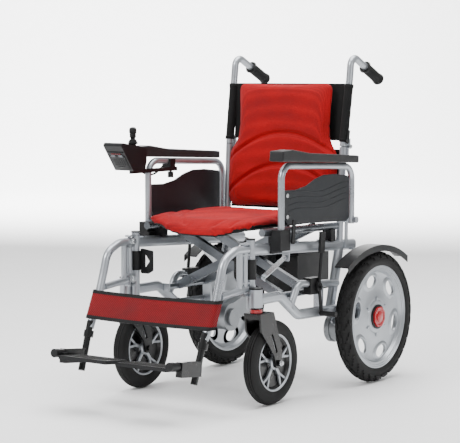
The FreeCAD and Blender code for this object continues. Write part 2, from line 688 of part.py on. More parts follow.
# ---------------------------------------------------------------- battery
def battery():
    """Battery box on a tray that hangs from the cross pivot."""
    centre_z = "(brace_low_z + brace_high_z) / 2"
    width = "2 * battery_half"
    case = box(("-battery_half", "battery_front_y", "battery_low_z"),
               (width, "battery_rear_y - battery_front_y", "battery_high_z - battery_low_z"))
    lid = box(("-battery_half + 3", "battery_front_y + 3", "battery_high_z - 1"),
              (f"{width} - 6", "battery_rear_y - battery_front_y - 6", "5"))
    handle = tube([("-40", "-30", "battery_high_z"), ("-40", "-30", "battery_high_z + 24"),
                   ("40", "-30", "battery_high_z + 24"), ("40", "-30", "battery_high_z")],
                  "5", "10")
    node("battery_case", fuse(case, lid, handle))
    floor = box(("-battery_half", "battery_front_y - 6", "battery_low_z - tray_thickness - 0.3"),
                (width, "battery_rear_y - battery_front_y + 6", "tray_thickness"))
    wall = box(("-battery_half", "battery_front_y - 6", "battery_low_z - tray_thickness - 0.3"),
               (width, "5.7", "battery_high_z - battery_low_z"))
    neck = box(("-15", "battery_front_y - 32", "battery_high_z - 18"), ("30", "31.7", "37"))
    bore = rod(("0", "battery_front_y - 34", centre_z), "y", "pivot_radius + pivot_gap", "36")
    nut_room = rod(("0", "battery_front_y - 13", centre_z), "y", "11.6", "14")
    node("battery_tray", cut(fuse(floor, wall, neck), bore, nut_room))


# ---------------------------------------------------------------- armrests
def armrests():
    """Front socket, bent tube, pad and side panel."""
    x = "arm_x"
    socket = fuse(
        box((f"{x} - 16.5", "arm_front_y - 26", "448"), ("32", "52", "62")),
        box(("side_x + 11", "arm_front_y - 26", "440"), ("10", "52", "40")),
    )
    rail_room = flat_oval([("side_x", "-540", rail_z("-540")), ("side_x", "-400", rail_z("-400"))],
                          "rail_width + 0.2", "rail_height + 0.2")
    well = rod((x, "arm_front_y", "arm_foot_z - 2"), "z", "socket_bore", "60")
    saddle_room = box(("side_x", "-461", "440"), ("17", "30", "90"))
    seat_rail_room = rod(("side_x", "-500", "498"), "y", "seat_rail_radius + 1", "70")
    latch = fuse(
        rod((f"{x} + 16", "arm_front_y + 34", "474"), "x", "8", "6"),
        tilted_box((f"{x} + 19", "arm_front_y + 37", "504"), ("5", "14", "66"),
                   Rotation(Vector(1, 0, 0), -6)),
    )
    pair("arm_socket", fuse(cut(socket, rail_room, well, saddle_room, seat_rail_room), latch))
    route = [
        (x, "arm_front_y", "arm_foot_z"), (x, "arm_front_y", "arm_top_front_z"),
        (x, "arm_pivot_y", "arm_top_rear_z"), (x, "arm_pivot_y", "arm_pivot_z - 12"),
    ]
    frame = tube(route, "arm_radius", "42")
    bore = rod((f"{x} - 14", "arm_pivot_y", "arm_pivot_z"), "x", "5.3", "28")
    pair("arm_tube", cut(frame, bore))
    pad_x = "pad_inner_x + pad_width / 2"
    pad = plate(
        [
            ("axle_y + pad_front_y", "711"), ("axle_y + pad_front_y + 3", "742"),
            ("axle_y + pad_front_y + 60", "744"), ("axle_y + pad_front_y + 150", "731"),
            ("axle_y + pad_rear_y", "714"), ("axle_y + pad_rear_y", "691"),
        ],
        "side", "pad_width", (pad_x, "-axle_y", "0"), "3",
    )
    pair("arm_pad", pad)
    panel = plate(
        [
            ("-451", "540"), ("-451", "624"), ("-390", "622"), ("-333", "631"), ("-284", "649"),
            ("-236", "659"), ("-176", "659"), ("-92", "650"), ("-92", "520"), ("-110", "511"),
            ("-436", "523"),
        ],
        "side", "panel_thickness", (x, "0", "0"), "6",
    )
    pair("side_panel", panel)


# ---------------------------------------------------------------- backrest
def backrest():
    """Folding canes, grips, sleeves, and the upholstery and cushion above and below the hinge."""
    route = [
        ("cane_x", "cane_hinge_y", "cane_hinge_z + 1"), ("cane_x + 3", "-46", "945"),
        ("grip_x + 1", "cane_top_y", "cane_top_z"), ("grip_x", "grip_end_y - 8", "grip_end_z + 4"),
    ]
    cane = tube(route, "slim_radius", "cane_bend")
    cane_bore = tube(route, "slim_radius - tube_wall", "cane_bend")
    knuckle = box(("cane_x - 12", "cane_hinge_y + 6", "cane_hinge_z + 1"), ("24", "hinge_depth", "26"))
    pin = rod(("cane_x - 14", "back_hinge_y", "cane_hinge_z"), "x", "3", "28")
    bridge = [
        box((f"cane_x {x0}", "back_hinge_y - 5", "cane_hinge_z - 5"), ("1.6", "10", "8"))
        for x0 in ("- 14", "+ 12.4")
    ]
    bridge_top = [
        box((f"cane_x {x0}", "back_hinge_y - 5", "cane_hinge_z + 3"), (w, "10", "22"))
        for x0, w in (("- 14", "3"), ("+ 11", "3"))
    ]
    pair("cane_upper", fuse(cut(cane, cane_bore), knuckle, pin, *bridge, *bridge_top))
    handle = bar_between(("grip_x", "grip_start_y", "grip_start_z"),
                         ("grip_x", "grip_end_y", "grip_end_z"), "grip_radius")
    flange = bar_between(("grip_x", "grip_start_y - 4", "grip_start_z + 1.9"),
                         ("grip_x", "grip_start_y + 3", "grip_start_z - 1.4"), "grip_radius + 4")
    room = tube(route, "slim_radius + 0.05", "cane_bend")
    pair("push_grip", cut(fuse(handle, flange), room))
    sleeve_route = [("cane_x + 0.2", "-75", "sleeve_low_z"), ("cane_x + 2.8", "-48.2", "sleeve_high_z")]
    sleeve = bar_between(*sleeve_route, "slim_radius + sleeve_wall")
    sleeve = cut(sleeve, tube(route, "slim_radius + 0.2", "cane_bend"), knuckle)
    lever = fuse(
        rod(("cane_x + 15.5", "cane_hinge_y - 2", "cane_hinge_z + 16"), "x", "7", "3.4"),
        tilted_box(("cane_x + 17.1", "cane_hinge_y + 4", "cane_hinge_z + 34"), ("3", "9", "34"),
                   Rotation(Vector(1, 0, 0), -12)),
    )
    node("back_release_lever", lever)
    for name, z0, z1, y0, y1, flare, trims in (
        ("upper", "cane_hinge_z + 16", "934", "-76", "-50", "0", [sleeve, mirror(sleeve)]),
        ("lower", "520", "cane_hinge_z - 2", "-92", "-78", "16", []),
    ):
        sling = plate(
            [(y0, z0), (f"({y0}) + 5", z0), (f"({y1}) + 5", z1), (y1, z1)],
            "side", "2 * sling_half", ("0", "0", "0"), "0",
        )
        cushion = plate(
            [(f"({y0}) - 34", z0), (f"({y0}) + 1", z0), (f"({y1}) + 1", z1), (f"({y1}) - 30", z1)],
            "side", f"2 * cushion_half + {flare}", ("0", "0", "0"), "0",
        )
        canes = [tube(route, "slim_radius + 0.3", "cane_bend"),
                 bar_between(("cane_x - 2.2", "-97", "400"), ("cane_x + 0.1", "cane_hinge_y", "740"),
                             "slim_radius + 0.4")]
        rooms = canes + [mirror(cane_room) for cane_room in canes]
        padding = cut(fuse(sling, cushion), *rooms)
        node(f"back_{name}", fuse(padding, *trims) if trims else padding)


# ---------------------------------------------------------------- seat
def seat():
    """Sling between the seat rails, and the cushion with its dropped front lip."""
    sling = box(("-seat_half", "seat_front_y + 30", "seat_low_z - 3"),
                ("2 * seat_half", "seat_rear_y - seat_front_y - 30", "3.5"))
    top = "seat_low_z + seat_thickness"
    cushion = plate(
        [
            ("seat_front_y", "seat_lip_z"), ("seat_front_y - 4", "seat_low_z"),
            ("seat_front_y + 14", f"{top} - 5"), ("seat_front_y + 60", top),
            ("seat_rear_y", f"{top} - 9"), ("seat_rear_y", "seat_low_z"),
            ("seat_front_y + 28", "seat_low_z"), ("seat_front_y + 20", "seat_lip_z"),
        ],
        "side", "2 * seat_half", ("0", "0", "0"), "0",
    )
    node("seat_cushion", fuse(cushion, sling))


# ---------------------------------------------------------------- hangers and legrests
def hangers():
    """Swing away hanger, release plate, leg tube, footplate hinge and footplate."""
    x = "hanger_x"
    route = [
        (x, "-592", "hanger_high_z - 1"), (x, "-650", "hanger_high_z"), (x, "-706", "438"),
        (x, "-727", "372"), (x, "-752", "hanger_low_z - 50"), (f"{x} - 4", "leg_top_y - 4", "222"),
    ]
    top = tube(route, "tube_radius - 0.5", "70")
    top_bore = tube(route, "leg_radius + 0.3", "70")
    low = bar_between((x, "-594", "hanger_low_z - 3"), (x, "-722", "hanger_low_z - 14"), "tube_radius - 2")
    posts = [
        rod((x, y, "hanger_low_z - 6"), "z", "9", "hanger_high_z - hanger_low_z + 4")
        for y in ("hanger_post_y", "hanger_post_y - 25")
    ]
    bores = [
        rod((x, "hanger_post_y", z), "z", "5.3", "32")
        for z in ("hanger_high_z - 16", "hanger_low_z - 18")
    ]
    knuckles = [
        box((f"{x} - 8", "-628", z), ("16", "40", "4")) for z in ("hanger_high_z - 18", "hanger_low_z + 12")
    ]
    solid = fuse(top, low, *posts, *knuckles)
    foot_hole = bar_between(
        (f"{x} - 3.2", "leg_top_y + 1", "leg_top_z + 3"), (f"{x} - 8", "leg_low_y - 6", "90"),
        "leg_radius + 0.3",
    )
    pair("hanger", cut(solid, foot_hole, *bores))
    lever = plate(
        [("150", "372"), ("150", "432"), ("196", "438"), ("196", "362"), ("168", "362")],
        "front", "4", ("0", "-566", "0"), "5",
    )
    window = plate([("162", "400"), ("180", "424"), ("180", "378")], "front", "8", ("0", "-566", "0"), "2")
    hub = ring_tube(("side_x", "-572", "372"), ("side_x", "-572", "430"), "16", "12.8")
    neck = box(("192", "-568", "372"), ("8", "4", "58"))
    pair("release_plate", fuse(cut(lever, window), hub, cut(neck, rod(
        ("side_x", "-572", "360"), "z", "14", "90"))))
    tube_top = (f"{x} - 3.2", "leg_top_y", "leg_top_z")
    tube_end = (f"{x} - 8", "leg_low_y - 2", "leg_low_z + 2")
    leg = bar_between(tube_top, tube_end, "leg_radius")
    collar_a = (f"{x} - 4.2", "-797.2", "214")
    collar_b = (f"{x} - 4.9", "-803.1", "196")
    collar = bar_between(collar_a, collar_b, "tube_radius + 2")
    tilt = Rotation(Vector(1, 0, 0), -number("plate_tilt"))
    bracket = tilted_box((f"{x} - 2", "-868", "150"), ("21", "92", "42"), tilt)
    ahead = tilt.multVec(Vector(0, -1, 0))

    def on_axis(distance):
        """A point on the footplate's hinge axis, measured back from its front end."""
        return (
            "plate_pivot_x", f"plate_pivot_y - {ahead.y * distance:.3f}",
            f"plate_pivot_z - {ahead.z * distance:.3f}",
        )

    pin_room = bar_between(on_axis(28), on_axis(46), "6.3")
    pair("leg_tube", fuse(leg, collar, cut(bracket, pin_room)))
    knob = fuse(bar_between(on_axis(-10), on_axis(8), "knob_radius"),
                bar_between(on_axis(7), on_axis(44), "6"))
    pair("plate_pin", knob)
    barrel = cut(bar_between(on_axis(8.5), on_axis(29.5), "knob_radius - 1"),
                 bar_between(on_axis(8), on_axis(31), "6.3"))
    length = "plate_pivot_x - plate_inner_x - 14"
    tread = tilted_box(
        ("plate_inner_x + (plate_pivot_x - plate_inner_x - 14) / 2", "-903", "plate_pivot_z - 14.5"),
        (length, "plate_depth", "plate_thickness"), tilt,
    )
    arm = tilted_box(("plate_pivot_x - 11", "-926", "plate_pivot_z - 8"), ("18", "19", "16"), tilt)
    room = bar_between(on_axis(4), on_axis(34), "6.3")
    pair("footplate", fuse(barrel, tread, cut(arm, room)))


def calf_strap():
    """Band in front of the hanger tubes, and the fastening tab round the left tube."""
    lean = Rotation(Vector(1, 0, 0), -24)
    middle_y, middle_z = "-778", "strap_top_z - strap_height / 2 - 2"
    band = tilted_box(("0", middle_y, middle_z), ("2 * strap_half + 4", "strap_thickness", "strap_height"),
                      lean)
    wrap = tilted_box(("-strap_half - 0.5", "-765", f"{middle_z} + 2"), ("strap_thickness", "30", "strap_height - 8"),
                      lean)
    tab = tilted_box(("strap_half + 0.5", "-765", f"{middle_z} + 2"), ("3", "30", "strap_height - 16"), lean)
    node("calf_strap", fuse(band, wrap, tab))


# ---------------------------------------------------------------- controller
def controller():
    """Case under the right arm pad, joystick, buttons, bracket and cable."""
    x = "control_x"
    case = plate(
        [
            ("-648", "750"), ("-640", "758"), ("-600", "752"), ("-560", "746"), ("-525", "738"),
            ("-524", "700"), ("-532", "674"), ("-590", "672"),
        ],
        "side", "2 * control_half", (x, "0", "0"), "5",
    )
    well = rod((x, "stick_y", "stick_base_z - 18"), "z", "15", "60")
    face = Rotation(Vector(1, 0, 0), -53.4)
    rooms = []
    for name, shift in (("power", "-14"), ("horn", "14")):
        place = (f"{x} + ({shift})", "-624.5", "718.4")
        inset = (place[0], "-623.7", "719")
        rooms.append(tilted_box(inset, ("17.4", "10.4", "7"), face))
        node(f"{name}_button", tilted_box(place, ("16", "9", "4"), face))
    rail = box((f"{x} + 4.6", "-572", "662"), ("9.4", "228", "12"))
    clamp = box((f"{x} - 22", "-375", "671"), ("33", "25", "28"))
    arm_room = bar_between(("-arm_x", "-450", "696.3"), ("-arm_x", "-250", "687"), "arm_radius + 0.1")
    thumb_screw = rod((f"{x} + 2", "-363", "641"), "z", "9", "18")
    thumb_stud = rod((f"{x} + 2", "-363", "658"), "z", "4", "16")
    node("controller_case", fuse(cut(case, well, *rooms), rail, cut(clamp, arm_room), thumb_screw,
                                 thumb_stud))
    stick = fuse(
        rod((x, "stick_y", "stick_base_z - 16"), "z", "6", "40"),
        rod((x, "stick_y", "stick_base_z - 14"), "z", "12", "14"),
        cone((x, "stick_y", "stick_base_z + 8"), "z", "17", "8", "20"),
        rod((x, "stick_y", "stick_base_z + 20"), "z", "7.5", "36"),
    )
    node("joystick", stick)
    route = [
        (f"{x} - 22", "-524.2", "684"), (f"{x} - 24", "-500", "680"), (f"{x} - 28", "-470", "662"),
        (f"{x} - 30", "-434", "650"), (f"{x} - 30", "-400", "653"), (f"{x} - 30", "-372", "668"),
        (f"{x} - 21.8", "-360", "684"),
    ]
    cable = tube(route, "cable_radius", "400", "cable")
    doc.recompute()
    straight = number("cable_radius") ** 2 * math.pi * cable.Spine[0].Shape.Length
    print(f"cable volume {cable.Shape.Volume:.0f}, section times length {straight:.0f}")
    node("controller_cable", cable)


# ---------------------------------------------------------------- build, check and write
rear_wheels()
side_frames()
castors()
brakes()
cross_brace()
battery()
armrests()
backrest()
seat()
hangers()
calf_strap()
controller()
doc.recompute()

for item in doc.Objects:
    if "Invalid" in item.State or "Error" in item.State:
        raise RuntimeError(f"{item.Name} ({item.Label}) failed: {item.State}")
for item in NODES:
    if item.Shape.isNull() or not item.Shape.isValid():
        raise RuntimeError(f"{item.Label} has no valid shape")
os.makedirs("parts", exist_ok=True)
for item in NODES:
    item.Shape.exportStep(f"parts/{item.Label}.step")
    bounds = item.Shape.BoundBox
    print(f"{item.Label}: {len(item.Shape.Solids)} solid, volume {item.Shape.Volume:.0f}, "
          f"x {bounds.XMin:.0f}..{bounds.XMax:.0f} y {bounds.YMin:.0f}..{bounds.YMax:.0f} "
          f"z {bounds.ZMin:.0f}..{bounds.ZMax:.0f}")
print(f"{len(NODES)} nodes")
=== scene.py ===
"""Looks of a folding power wheelchair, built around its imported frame.

Every length in a class is in millimetres unless it says otherwise; pieces are made in metres,
in the frame's own axes: +Y towards the back of the chair, +X to the sitter's left, +Z up.
"""

import logging
import math
from contextlib import contextmanager
from dataclasses import dataclass
from enum import Enum
from typing import Callable, Iterator, Sequence

import bpy
from mathutils import Matrix, Vector


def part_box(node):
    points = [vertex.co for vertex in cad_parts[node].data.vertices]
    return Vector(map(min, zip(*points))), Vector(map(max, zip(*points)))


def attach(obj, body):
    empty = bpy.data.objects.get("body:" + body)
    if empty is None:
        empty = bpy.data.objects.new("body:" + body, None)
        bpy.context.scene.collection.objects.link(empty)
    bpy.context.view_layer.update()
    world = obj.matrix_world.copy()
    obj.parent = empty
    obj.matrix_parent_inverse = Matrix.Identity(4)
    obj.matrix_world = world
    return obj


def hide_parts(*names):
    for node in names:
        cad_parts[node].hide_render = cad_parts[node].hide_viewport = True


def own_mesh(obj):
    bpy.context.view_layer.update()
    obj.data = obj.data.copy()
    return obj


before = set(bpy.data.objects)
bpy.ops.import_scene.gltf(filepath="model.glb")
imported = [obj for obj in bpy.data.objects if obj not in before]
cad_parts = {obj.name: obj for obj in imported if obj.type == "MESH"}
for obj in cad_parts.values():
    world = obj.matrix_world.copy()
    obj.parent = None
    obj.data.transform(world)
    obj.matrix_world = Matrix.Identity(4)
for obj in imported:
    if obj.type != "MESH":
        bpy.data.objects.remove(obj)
LOG = logging.getLogger("wheelchair")
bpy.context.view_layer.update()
Triple = tuple[float, float, float]
Piece = bpy.types.Object
Socket = bpy.types.NodeSocket
X_AXIS = Vector((1, 0, 0))
Z_AXIS = Vector((0, 0, 1))


def axle_y() -> float:
    """Where the rear axle lies along the chair, in metres."""
    low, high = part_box("wheel_tyre_left")
    return (low[1] + high[1]) / 2


AXLE_Y = axle_y()


def at(x: float, y: float, z: float) -> Vector:
    """A point in metres in the frame's axes.

    It lies x mm from the middle plane, y mm behind the rear axle and z mm above the floor.
    """
    return Vector((x / 1000, y / 1000 + AXLE_Y, z / 1000))


def linear(code: str) -> tuple[float, float, float, float]:
    """Turn an sRGB hex colour, such as #BFC3C8, into linear light with an alpha of one."""
    parts = [int(code[i : i + 2], 16) / 255 for i in (1, 3, 5)]
    red, green, blue = (p / 12.92 if p <= 0.04045 else ((p + 0.055) / 1.055) ** 2.4 for p in parts)
    return red, green, blue, 1.0


def node(tree: bpy.types.NodeTree, kind: str, settings: dict | None = None, **links: object) -> bpy.types.Node:
    """Add a shader node.

    Args:
        tree: the material's node tree.
        kind: the node's type name without ShaderNode before it.
        settings: attributes by name, or input values by socket name or number.
        links: output sockets by input name, with spaces written as underscores.

    Returns:
        The new node.
    """
    made = tree.nodes.new(f"ShaderNode{kind}")
    for key, value in (settings or {}).items():
        if isinstance(key, str) and hasattr(made, key):
            setattr(made, key, value)
        else:
            made.inputs[key].default_value = value
    for key, socket in links.items():
        name = int(key[1:]) if key[1:].isdigit() else key.replace("_", " ")
        tree.links.new(socket, made.inputs[name])
    return made


# ------------------------------------------------------------------ finishes
CLOUD = {"Scale": 9.0, "Detail": 4.0}  # slow changes of tone over a surface
CLOUD_SHARE = 0.9
SCUFF = {"Scale": 42.0, "Detail": 8.0, "Roughness": 0.7}  # where a surface is rubbed
RUBBED = {"From Min": 0.63, "From Max": 0.78, "To Max": 0.55}  # how little of it, and how strongly
PLAIN_SPECULAR = 0.35  # for everything but metal
QUARTER_TURN = 1.5708


class Grain(Enum):
    """How a surface was made, which sets the pattern that its bump follows."""

    MOULDED = "fine pebble of a moulded skin"
    CAST = "coarse skin of cast metal"
    BRUSHED = "long fine scratches"
    KNIT = "loops of a knitted cover"
    TWILL = "slanting ribs of a webbing"
    WOVEN = "crossed threads"
    SMOOTH = "paint or gloss with faint ripple"


@dataclass(frozen=True)
class Finish:
    """A material with its colour change, its pattern and its wear."""

    name: str
    light: str
    dark: str
    grain: Grain
    pitch: float
    roughness: float
    metallic: float = 0.0
    ior: float = 1.5
    relief: float = 0.25
    depth: float = 0.3
    coat: float = 0.0
    sheen: float = 0.0
    wear: str = ""

    def pattern(self, tree: bpy.types.NodeTree, where: Socket) -> Socket:
        """Draw the surface's own pattern over object coordinates, as a grey value from 0 to 1."""
        count = 1000 / self.pitch
        if self.grain is Grain.KNIT:
            cells = node(tree, "TexVoronoi", {"Scale": count, "Randomness": 0.25}, Vector=where)
            loops = node(tree, "Math", {"operation": "MULTIPLY", 1: 1.5}, _0=cells.outputs["Distance"])
            return loops.outputs[0]
        if self.grain in (Grain.TWILL, Grain.WOVEN):
            # A wave texture draws 20 / 6.28 bands for each unit of its scale.
            ribs = {"bands_direction": "DIAGONAL", "Scale": count / 20 * 6.28, "Distortion": 0.4, "Detail": 1.0}
            first = node(tree, "TexWave", ribs, Vector=where).outputs["Fac"]
            if self.grain is Grain.TWILL:
                return first
            across = node(tree, "Mapping", {"Rotation": (0.0, QUARTER_TURN, 0.0)}, Vector=where)
            second = node(tree, "TexWave", ribs, Vector=across.outputs[0]).outputs["Fac"]
            return node(tree, "Math", {"operation": "MULTIPLY"}, _0=first, _1=second).outputs[0]
        if self.grain is Grain.BRUSHED:
            where = node(tree, "Mapping", {"Scale": (1.0, 0.08, 1.0)}, Vector=where).outputs[0]
        detail = 5.0 if self.grain is Grain.CAST else 2.0
        return node(tree, "TexNoise", {"Scale": count, "Detail": detail}, Vector=where).outputs["Fac"]

    def make(self) -> bpy.types.Material:
        """Build the material once and give it back every time after."""
        ready = bpy.data.materials.get(self.name)
        if ready:
            return ready
        made = bpy.data.materials.new(self.name)
        made.use_nodes = True
        tree = made.node_tree
        tree.nodes.clear()
        where = node(tree, "TexCoord").outputs["Object"]
        pattern = self.pattern(tree, where)
        cloudy = node(tree, "TexNoise", CLOUD, Vector=where).outputs["Fac"]
        spread = {"operation": "MULTIPLY_ADD", 1: self.depth, 2: 0.5 - self.depth / 2}
        blend = node(tree, "Math", spread, _0=pattern).outputs[0]
        drift = node(tree, "Math", {"operation": "MULTIPLY_ADD", 1: CLOUD_SHARE}, _0=cloudy, _2=blend).outputs[0]
        centre = {"operation": "SUBTRACT", 1: CLOUD_SHARE / 2, "use_clamp": True}
        share = node(tree, "Math", centre, _0=drift).outputs[0]
        ends = {"data_type": "RGBA", 6: linear(self.dark), 7: linear(self.light)}
        colour = node(tree, "Mix", ends, Factor=share).outputs[2]
        if self.wear:
            scuff = node(tree, "TexNoise", SCUFF, Vector=where).outputs["Fac"]
            colour = self.worn(tree, node(tree, "MapRange", RUBBED, Value=scuff).outputs[0], colour)
        span = {"From Min": 0.3, "From Max": 0.7, "To Min": self.roughness - 0.06, "To Max": self.roughness + 0.08}
        rough = node(tree, "MapRange", span, Value=cloudy).outputs[0]
        height = {"Strength": self.relief, "Distance": self.pitch / 4000}
        bump = node(tree, "Bump", height, Height=pattern).outputs[0]
        film = {"Coat Weight": self.coat, "Coat Roughness": 0.12, "Sheen Weight": self.sheen, "Sheen Roughness": 0.5}
        look = {"Metallic": self.metallic, **film}
        shader = node(tree, "BsdfPrincipled", look, Base_Color=colour, Roughness=rough, Normal=bump)
        if not self.metallic:
            shader.inputs["IOR"].default_value = self.ior
            shader.inputs["Specular IOR Level"].default_value = PLAIN_SPECULAR
        node(tree, "OutputMaterial", None, Surface=shader.outputs[0])
        return made

    def worn(self, tree: bpy.types.NodeTree, amount: Socket, colour: Socket) -> Socket:
        """Lay scuffs of the given strength over a colour."""
        mix = node(tree, "Mix", {"data_type": "RGBA", 7: linear(self.wear)}, _0=amount, _6=colour)
        return mix.outputs[2]


# Powder-coated steel tube: pale silver flake in a satin film, so it shines softly.
SILVER_PAINT = Finish(
    "silver_powder_coat", "#BFC3C8", "#95999F", Grain.SMOOTH, 2.5, 0.3, 0.75, relief=0.06, wear="#8C9095",
)
# Zinc-plated steel: bright with a cool mirror edge.
ZINC = Finish("zinc_plated_steel", "#D5D8DA", "#A9ADB0", Grain.BRUSHED, 1.5, 0.24, 1.0, relief=0.08)
# Brace bars in darker satin steel.
BRACE = Finish("satin_steel_bar", "#8E9297", "#5F6368", Grain.BRUSHED, 2.0, 0.28, 0.9, relief=0.1, wear="#3A3C40")
# Machined wheel alloy: turned face with fine lathe marks.
RIM_ALLOY = Finish("turned_alloy", "#B9BDC1", "#9FA3A8", Grain.BRUSHED, 1.6, 0.36, 0.85, relief=0.06, depth=0.15)
# Glass-filled nylon: dark, even, with a fine moulded pebble.
NYLON = Finish("glass_filled_nylon", "#101113", "#060607", Grain.MOULDED, 1.8, 0.48, relief=0.3, wear="#3A3B3E")
# Polypropylene guard: softer shine than nylon.
GUARD = Finish("moulded_polypropylene", "#141517", "#08090A", Grain.MOULDED, 2.4, 0.4, relief=0.22, wear="#45474A")
# ABS side panel: charcoal with a pebbled skin.
PANEL = Finish("pebbled_abs_panel", "#25282C", "#131518", Grain.MOULDED, 2.2, 0.46, relief=0.35, wear="#54575C")
# Stove enamel on the castor forks: black and glossy under a clear film.
FORK = Finish("black_stove_enamel", "#08090A", "#030304", Grain.SMOOTH, 4.0, 0.28, relief=0.04, coat=0.25)
# Vulcanised rubber: near black with dusty grey high spots.
RUBBER = Finish(
    "vulcanised_rubber", "#131313", "#080808", Grain.MOULDED, 3.2, 0.72, ior=1.52, relief=0.4, wear="#4A4946",
)
# Soft grip rubber.
GRIP = Finish("soft_grip_rubber", "#0D0D0E", "#050505", Grain.MOULDED, 1.6, 0.62, ior=1.52, relief=0.3)
# Skinned polyurethane foam: leathery dark skin on the arm pads.
FOAM_SKIN = Finish("skinned_polyurethane", "#141416", "#08080A", Grain.MOULDED, 2.6, 0.52, relief=0.45, sheen=0.1)
# Spacer knit: red loops over a darker ground, drawn at 3.4 mm so that the loops show.
RED_KNIT = Finish(
    "red_spacer_knit", "#A9010C", "#560105", Grain.KNIT, 3.4, 0.88, ior=1.4, relief=1.0, depth=0.8, sheen=0.04,
)
# The same red in a twill webbing.
RED_TWILL = Finish(
    "red_twill_webbing", "#8C0610", "#3E0206", Grain.TWILL, 4.0, 0.8, ior=1.4, relief=0.8, depth=0.7, sheen=0.06,
)
# Black nylon cloth: tight weave with a dull sheen, drawn at 3 mm.
BLACK_CLOTH = Finish(
    "black_nylon_cloth", "#0D0E0F", "#040404", Grain.WOVEN, 3.0, 0.78, ior=1.4, relief=0.6, depth=0.5, sheen=0.05,
)
# Binding tape sewn round the edges.
BINDING = Finish("binding_tape", "#0C0C0D", "#040404", Grain.TWILL, 2.0, 0.68, ior=1.45, relief=0.6, depth=0.4)
# Die-cast motor body: silver with a slight casting skin.
MOTOR = Finish(
    "die_cast_aluminium", "#A8ABAE", "#6F7276", Grain.CAST, 2.4, 0.38, 0.85, relief=0.25, wear="#4B4D50",
)
# Battery shell: blue-black ABS.
BATTERY = Finish("blue_black_abs", "#0D0F16", "#050609", Grain.MOULDED, 2.0, 0.36, relief=0.25)
# Controller shell: soft-touch ABS.
CASE = Finish("soft_touch_abs", "#111214", "#070708", Grain.MOULDED, 1.6, 0.42, relief=0.28)
# Gloss buttons.
BUTTON = Finish("gloss_button", "#5B5E64", "#3B3D42", Grain.SMOOTH, 3.0, 0.22, relief=0.03, coat=0.4)
# Injection-moulded red caps.
RED_CAP = Finish("gloss_red_cap", "#C4141E", "#8A0A12", Grain.SMOOTH, 3.0, 0.25, relief=0.04, coat=0.5)
# Pale plated screw heads.
SCREW = Finish("white_metal_screw", "#E2E3E4", "#B7B9BB", Grain.BRUSHED, 0.8, 0.3, 0.7, relief=0.05)
# Studio floor.
FLOOR = Finish("pale_floor", "#FCFCFC", "#F8F8F8", Grain.SMOOTH, 8.0, 0.75, relief=0.01, depth=0.05)


# ------------------------------------------------------------------ modelling by hand
def deselect() -> None:
    """Leave object mode and let go of everything."""
    if bpy.context.object and bpy.context.object.mode != "OBJECT":
        bpy.ops.object.mode_set(mode="OBJECT")
    bpy.ops.object.select_all(action="DESELECT")


def pick(obj: Piece) -> None:
    """Make one object the only one selected and the active one."""
    deselect()
    obj.select_set(True)
    bpy.context.view_layer.objects.active = obj


@contextmanager
def editing() -> Iterator[None]:
    """Edit mode on the active mesh, and object mode again afterwards."""
    bpy.ops.object.mode_set(mode="EDIT")
    yield
    bpy.ops.object.mode_set(mode="OBJECT")


def mark(obj: Piece, wanted: Callable[[Vector, Vector], bool]) -> None:
    """Select the faces of a mesh whose centre and normal are wanted."""
    pick(obj)
    with editing():
        bpy.ops.mesh.select_mode(type="FACE")
        bpy.ops.mesh.select_all(action="DESELECT")
    for face in obj.data.polygons:
        face.select = wanted(Vector(face.center), Vector(face.normal))


def raise_faces(height: float) -> None:
    """Raise the selected faces of the active mesh along their normals, by a height in metres."""
    with editing():
        bpy.ops.mesh.extrude_region_shrink_fatten(TRANSFORM_OT_shrink_fatten={"value": height})


def fine_cube(cuts: int) -> Piece:
    """A cube from -1 to 1 with every edge cut many times, to be laid on a shape."""
    deselect()
    bpy.ops.mesh.primitive_cube_add(size=2)
    obj = bpy.context.object
    with editing():
        bpy.ops.mesh.subdivide(number_cuts=cuts)
    return obj


def apply_modifier(obj: Piece, kind: str, **settings: object) -> None:
    """Add a modifier to a mesh, set its attributes and apply it."""
    pick(obj)
    modifier = obj.modifiers.new("step", kind)
    for key, value in settings.items():
        setattr(modifier, key, value)
    bpy.ops.object.modifier_apply(modifier=modifier.name)


def move_points(obj: Piece, change: Callable[[Vector], Vector]) -> None:
    """Move every vertex of a mesh to where the change puts it."""
    for vertex in obj.data.vertices:
        vertex.co = change(vertex.co.copy())
    obj.data.update()


def smooth(obj: Piece, degrees: float = 35) -> None:
    """Shade a mesh smooth, and keep its edges sharper than an angle crisp."""
    pick(obj)
    bpy.ops.object.shade_smooth_by_angle(angle=math.radians(degrees))


def outward(obj: Piece) -> None:
    """Close doubled points and turn every face outwards."""
    pick(obj)
    with editing():
        bpy.ops.mesh.select_all(action="SELECT")
        bpy.ops.mesh.remove_doubles(threshold=0.00002)
        bpy.ops.mesh.normals_make_consistent(inside=False)


def block(name: str, middle: Vector, size: Triple, edge: float = 1.0, turn: Matrix | None = None) -> Piece:
    """A bar or plate about a middle in metres, with its sides and edge radius in millimetres."""
    deselect()
    bpy.ops.mesh.primitive_cube_add(size=1)
    obj = bpy.context.object
    obj.name = name
    scale = Matrix.Diagonal((*[side / 1000 for side in size], 1))
    obj.data.transform(Matrix.Translation(middle) @ (turn.to_4x4() if turn else Matrix()) @ scale)
    apply_modifier(obj, "BEVEL", width=edge / 1000, segments=2, limit_method="ANGLE")
    smooth(obj, 40)
    return obj


